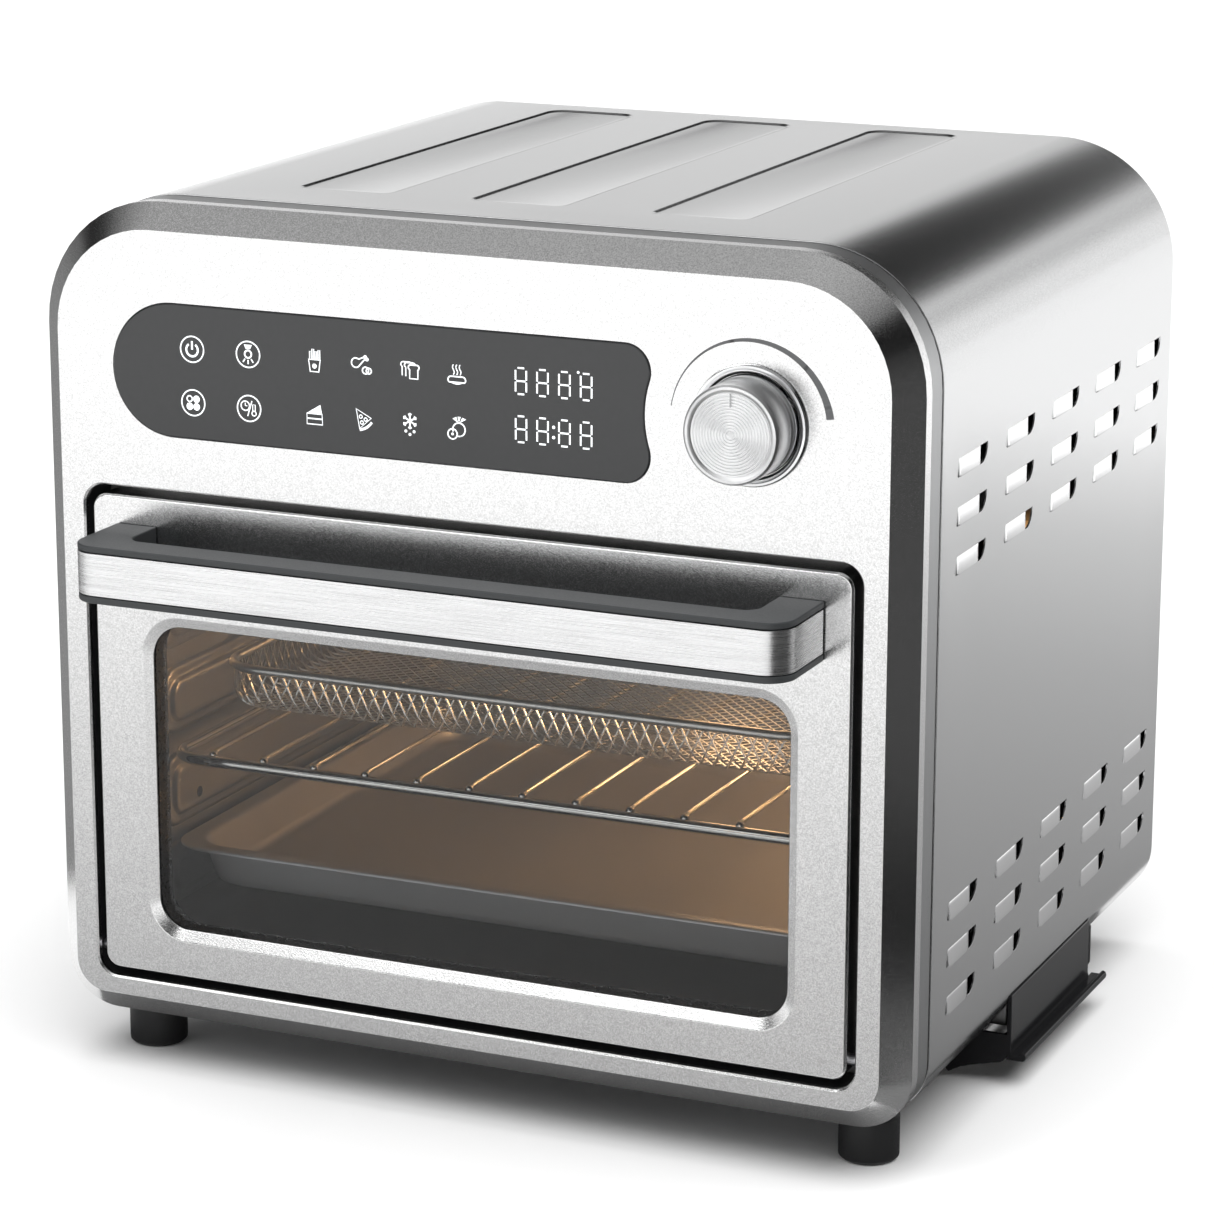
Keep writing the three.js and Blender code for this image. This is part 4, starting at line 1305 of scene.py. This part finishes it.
def basket_mesh():
    """Diamonds all over: short strands up the walls and long crossing ones over the floor."""
    b = BASKET
    work = Wirework()
    places = around_basket(1.3)
    count = len(places)
    rows = 8
    for start in range(0, count, 4):
        for lean in (1, -1):
            strand = []
            for row in range(rows + 1):
                amount, height = wall_drop(row / rows)
                x, y = drawn_in(places[(start + lean * row) % count], amount)
                strand.append((x, y, height))
            work.run(strand, 0.48, sides=4, flat=0.7)
    wide, deep = 5.2, 5.4
    slope = deep / wide
    half, front, rear = b["half"] - FLOOR_INSET, b["front"] + FLOOR_INSET, b["rear"] - FLOOR_INSET
    reach = int(((rear - front) / slope + 2 * half) / wide) + 1
    for number in range(-reach, reach):
        for lean in (1, -1):
            start = number * wide
            low, high = max(-half, start), min(half, start + (rear - front) / slope)
            if high - low < 5:
                continue
            ends = [clip_corner((lean * x, front + (x - start) * slope)) for x in (low, high)]
            work.run([(*ends[0], b["floor"] + 0.1), (*ends[1], b["floor"] + 0.1)], 0.45, sides=4, flat=0.7)
    return work.piece("basket_mesh", basket_wire, sharp=80)


def basket_rim():
    b = BASKET
    half = b["half"] + 0.5
    work = Wirework()
    work.run(level_loop(-half, half, 40.1, 249.9, 0, b["rim"], 16, 16, 10), 1.75, sides=12, closed=True)
    for y in (95, 195):
        for side in (-1, 1):
            ear = [(side * x, y, b["rim"]) for x in (119, 139.4, 139.9)]
            work.run(ear, 1.75, 12)
    return work.piece("basket_rim", basket_wire)


basket_piece = basket_rim()
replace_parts(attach(basket_piece, "basket"), "mesh_basket")
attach(basket_mesh(), "basket")

# ---------------------------------------------------------------------------------------------
# The rack is a chromed rod bent round and welded, with lighter wires laid across it from front to
# back. Each wire is turned down at its ends and spot-welded to the rod.
rack_chrome = finish("rack_chrome", (0.74, 0.735, 0.72), 1.0, 0.13, 900, 0.002, spread=0.03, tint=0.95)
RACK_WIRES = [-117.15 + 21.3 * number for number in range(12)]


def rack():
    work = Wirework()
    work.run(level_loop(-134.7, 134.7, 28.3, 253.7, 0, RACK_Z, 12, 12, 10), 2.25, sides=14, closed=True)
    for x in RACK_WIRES:
        bow = [(29.6, 1.6), (30.4, 2.5), (33, 2.9), (142, 2.6), (249, 2.9), (251.6, 2.5), (252.4, 1.6)]
        work.run([(x, y, RACK_Z + rise) for y, rise in bow], 0.95, 10)
    work.run([(-133.5, 141, RACK_Z + 0.5), (133.5, 141, RACK_Z + 0.5)], 1.2, 10)
    return work.piece("rack_wires", rack_chrome)


def rack_welds():
    """A bead of weld where each wire's end meets the rod."""
    bead = [
        (0.05, -1.75), (0.8, -1.6), (1.4, -1.1), (1.75, -0.3),
        (1.75, 0.3), (1.4, 1.1), (0.8, 1.6), (0.05, 1.75),
    ]
    beads = [spun("weld", bead, (x, 29.9, RACK_Z + 2.1), (1, 0, 0), rack_chrome, 14) for x in RACK_WIRES]
    made = together("rack_welds", beads)
    made.data.materials.append(rack_chrome)
    made.data.shade_smooth()
    return made


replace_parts(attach(rack(), "rack"), "wire_rack")
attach(rack_welds(), "rack")

# ---------------------------------------------------------------------------------------------
# The baking tray is pressed steel under a smooth grey enamel, with sloping walls and a flat rim
# that rolls over at its edge.
tray_enamel = finish("tray_enamel", (0.6, 0.6, 0.61), 0.55, 0.36, 1100, 0.0008, spread=0.03, tint=0.94)


def tray():
    inside = [(16, 63.2, 10), (13.6, 63.3, 12), (11.8, 64.2, 13), (10.6, 66.4, 13.5), (8.0, 78.2, 14.5)]
    rim = [
        (7.2, 79.3, 15), (6.0, 79.65, 15.4), (1.0, 79.65, 16), (0.2, 79.2, 16), (0.15, 78.6, 16),
        (0.9, 78.35, 16), (6.6, 78.5, 15.2), (7.3, 77.4, 15),
    ]
    outside = [(9.9, 66.2, 14), (11.3, 63.2, 13.5), (13.6, 62.1, 12), (16, 62.05, 10)]
    loops = [level_loop(-139, 139, 30, 262, inset_by, z, corner, corner, 10)
             for inset_by, z, corner in inside + rim + outside]
    return loft("tray_pan", loops, tray_enamel, "caps", sharp=60)


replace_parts(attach(tray(), "tray"), "baking_tray")

# ---------------------------------------------------------------------------------------------
# A small halogen lamp sits in a steel can and shines through a glass cover in the right wall. It
# fills the chamber with amber light. A probe for the thermostat reaches out of the back wall.
clear_cover = window_glass("clear_cover", (0.93, 0.9, 0.86), 0.03)
LAMP_AXIS = (0, 225, 183)
LAMP_PROFILE = [
    (0.1, 138.2), (9, 138.2), (12.4, 138.8), (13.4, 140.2), (13.5, 142.7),
    (16.8, 142.8), (16.9, 143.9), (12, 143.95), (11.5, 141), (0.1, 140.4),
]
LAMP_CAN_PROFILE = [(0.1, 166.8), (16.9, 166.8), (16.9, 144.5), (17.6, 144.5), (17.6, 167.5), (0.1, 167.5)]
lamp_cover = spun("lamp_cover_glass", LAMP_PROFILE, LAMP_AXIS, (1, 0, 0), clear_cover)
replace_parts(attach(lamp_cover, "chassis"), "lamp_cover")
lamp_can = spun("lamp_can", LAMP_CAN_PROFILE, LAMP_AXIS, (1, 0, 0), zinc)
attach(lamp_can, "chassis")

filament = finish("filament", (1.0, 0.62, 0.25), 0.0, 0.3, 500, 0.001)
shine(filament, (1, 0.55, 0.2), 8)
BULB_PROFILE = [(0.1, 146.2), (2.5, 146.5), (4.6, 147.8), (5.7, 150.2), (5.9, 153), (5.6, 158), (4.4, 160.5),
                (4.4, 163.9), (0.1, 163.9)]
bulb = spun("lamp_bulb_glass", BULB_PROFILE, LAMP_AXIS, (1, 0, 0), filament)
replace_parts(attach(bulb, "chassis"), "lamp_bulb")

PROBE_PROFILE = [(0.05, -27.9), (1.2, -27.5), (1.9, -26.2), (1.9, 1.5), (5.6, 1.6), (5.9, 2.2), (5.9, 6.4),
                 (5.3, 6.95), (0.05, 6.95)]
probe = spun("probe_tube", PROBE_PROFILE, (-60, 268, 195), (0, 1, 0), rack_chrome, 24)
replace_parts(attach(probe, "chassis"), "temperature_probe")


def glow(name, place, colour, power, radius):
    data = bpy.data.lights.new(name, "POINT")
    data.color = colour
    data.energy = power
    data.shadow_soft_size = radius
    lamp = put(name, data)
    lamp.location = place
    return lamp


glow("chamber_glow", at(112, 215, 186), (1, 0.56, 0.24), 0.38, 0.014)
glow("chamber_fill", at(30, 190, 198), (1, 0.6, 0.3), 0.15, 0.02)

# ---------------------------------------------------------------------------------------------
# The heater is one loop of sheathed element under the roof. A wire guard keeps fingers off it and
# off the fan, which draws air up through the middle of a spun aluminium pan.
element_black = finish("element_black", (0.05, 0.045, 0.042), 0.6, 0.5, 1400, 0.02, tint=0.7)
spun_aluminium = finish("spun_aluminium", (0.62, 0.62, 0.63), 1.0, 0.34, 1500, 0.01, (1, 1, 0.2), 0.06)
FAN_X, FAN_Y = 0, 145
HEATER_R = 74


def heater():
    path = [(8, FAN_Y + HEATER_R, 262), (8, FAN_Y + HEATER_R, 250), (8.3, FAN_Y + HEATER_R, 238)]
    for step in range(61):
        angle = math.radians(90 - 9 - 342 * step / 60)
        rise = 224 + 7 * max(0, abs(step - 30) - 28.5)
        path.append((FAN_X + HEATER_R * math.cos(angle), FAN_Y + HEATER_R * math.sin(angle), rise))
    path += [(-8.3, FAN_Y + HEATER_R, 238), (-8, FAN_Y + HEATER_R, 250), (-8, FAN_Y + HEATER_R, 262)]
    return Wirework().run(path, 3.1, 14).piece("heater_tube", element_black)


def guard():
    work = Wirework()
    for radius in (45, 66, 88):
        ring = [(FAN_X + x, FAN_Y + y, 210.6) for x, y in arc(0, 0, radius, 0, 360, 64)[:-1]]
        work.run(ring, 1.15, 10, closed=True)
    for turn in range(3):
        x, y = 88.8 * math.cos(turn * math.pi / 3), 88.8 * math.sin(turn * math.pi / 3)
        spoke = [(FAN_X - x, FAN_Y - y, 212), (FAN_X, FAN_Y, 212.05), (FAN_X + x, FAN_Y + y, 212)]
        work.run(spoke, 1.15, 10)
    return work.piece("guard_wires", rack_chrome)


def fan_cover():
    profile = [
        (96.9, 0.1), (107.4, 0.1), (107.9, 0.6), (107.4, 1.1), (99, 1.1), (98, 2.2), (97.9, 37.4),
        (96.6, 38.9), (6.2, 38.9), (6.2, 38.0), (95.6, 38.0), (96.9, 36.6), (96.9, 0.1),
    ]
    made = spun("fan_cover", profile, (FAN_X, FAN_Y, 215.6), (0, 0, 1), spun_aluminium, 72)
    hole = [(0.1, 0), (4.4, 0), (4.4, 20), (0.1, 20)]
    holes = [
        spun("terminal_cutter", hole, (x, FAN_Y + HEATER_R, 240), (0, 0, 1), spun_aluminium, 24)
        for x in (-8, 8)
    ]
    return carve(made, together("terminal_cutters", holes))


def wheel(name, radius, blades, low, high, bore, material):
    """A fan wheel: a hub, a backing disc, and curved blades folded up from it."""
    hub = [(bore, low), (8.6, low), (9, low + 0.6), (9, high - 0.6), (8.6, high), (bore, high), (bore, low)]
    parts = [spun("hub", hub, (FAN_X, FAN_Y, 0), (0, 0, 1), material, 32)]
    disc = [(8.4, low + 0.1), (radius - 4, low + 0.1), (radius - 3.6, low + 0.6), (radius - 4, low + 1.1),
            (8.4, low + 1.1), (8.4, low + 0.1)]
    parts.append(spun("disc", disc, (FAN_X, FAN_Y, 0), (0, 0, 1), material, 48))
    for count in range(blades):
        turn = 2 * math.pi * count / blades
        outline = []
        for half_thick in (0.55, -0.55):
            side = []
            for step in range(7):
                reach = 12 + (radius - 12.4) * step / 6
                angle = turn + 0.34 * (step / 6) ** 2 + half_thick / reach
                side.append((FAN_X + reach * math.cos(angle), FAN_Y + reach * math.sin(angle)))
            outline += side if half_thick > 0 else side[::-1]
        parts.append(standing("blade", outline, low + 0.8, high, material))
    made = together(name, parts)
    made.data.materials.append(material)
    made.data.shade_smooth()
    made.data.set_sharp_from_angle(angle=math.radians(35))
    return made


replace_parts(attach(heater(), "chassis"), "heating_element")
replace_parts(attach(guard(), "chassis"), "element_guard")
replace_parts(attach(fan_cover(), "chassis"), "fan_pan")
hot_wheel = wheel("hot_air_wheel", 60, 10, 232, 248, 4.4, spun_aluminium)
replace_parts(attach(hot_wheel, "rotor"), "hot_air_fan")
cool_wheel = wheel("cooling_wheel", 44, 8, 296, 308, 4.4, matt_black)
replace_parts(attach(cool_wheel, "rotor"), "cooling_fan")
SHAFT_PROFILE = [(0.05, 229.1), (3.3, 229.1), (3.9, 229.8), (3.9, 310.2), (3.3, 310.9), (0.05, 310.9)]
shaft = spun("motor_shaft_rod", SHAFT_PROFILE, (FAN_X, FAN_Y, 0), (0, 0, 1), zinc, 32)
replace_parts(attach(shaft, "rotor"), "motor_shaft")

# ---------------------------------------------------------------------------------------------
# Above the pan a bracket carries the fan motor. The power board stands by the right wall, the
# control board lies behind the display, and a small switch tells when the door is shut.
board_green = finish("board_green", (0.02, 0.11, 0.045), 0.0, 0.35, 500, 0.03, (1, 1, 1), 0.08, 0.6)
dress("motor_bracket", matt_black)
MOTOR_PROFILE = [
    (4.7, 258.5), (30.5, 258.5), (31.8, 259.6), (31.8, 266), (30.6, 266.8), (30.6, 281.4), (31.8, 282.2),
    (31.8, 288.6), (30.4, 289.8), (12, 289.9), (11, 288.6), (4.7, 288.6), (4.7, 258.5),
]
motor = spun("fan_motor_can", MOTOR_PROFILE, (FAN_X, FAN_Y, 0), (0, 0, 1), zinc, 48)
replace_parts(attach(motor, "chassis"), "fan_motor")
dress("control_board", board_green)
dress("power_board", board_green)
dress("encoder_body", matt_black)
dress("door_switch", matt_black)
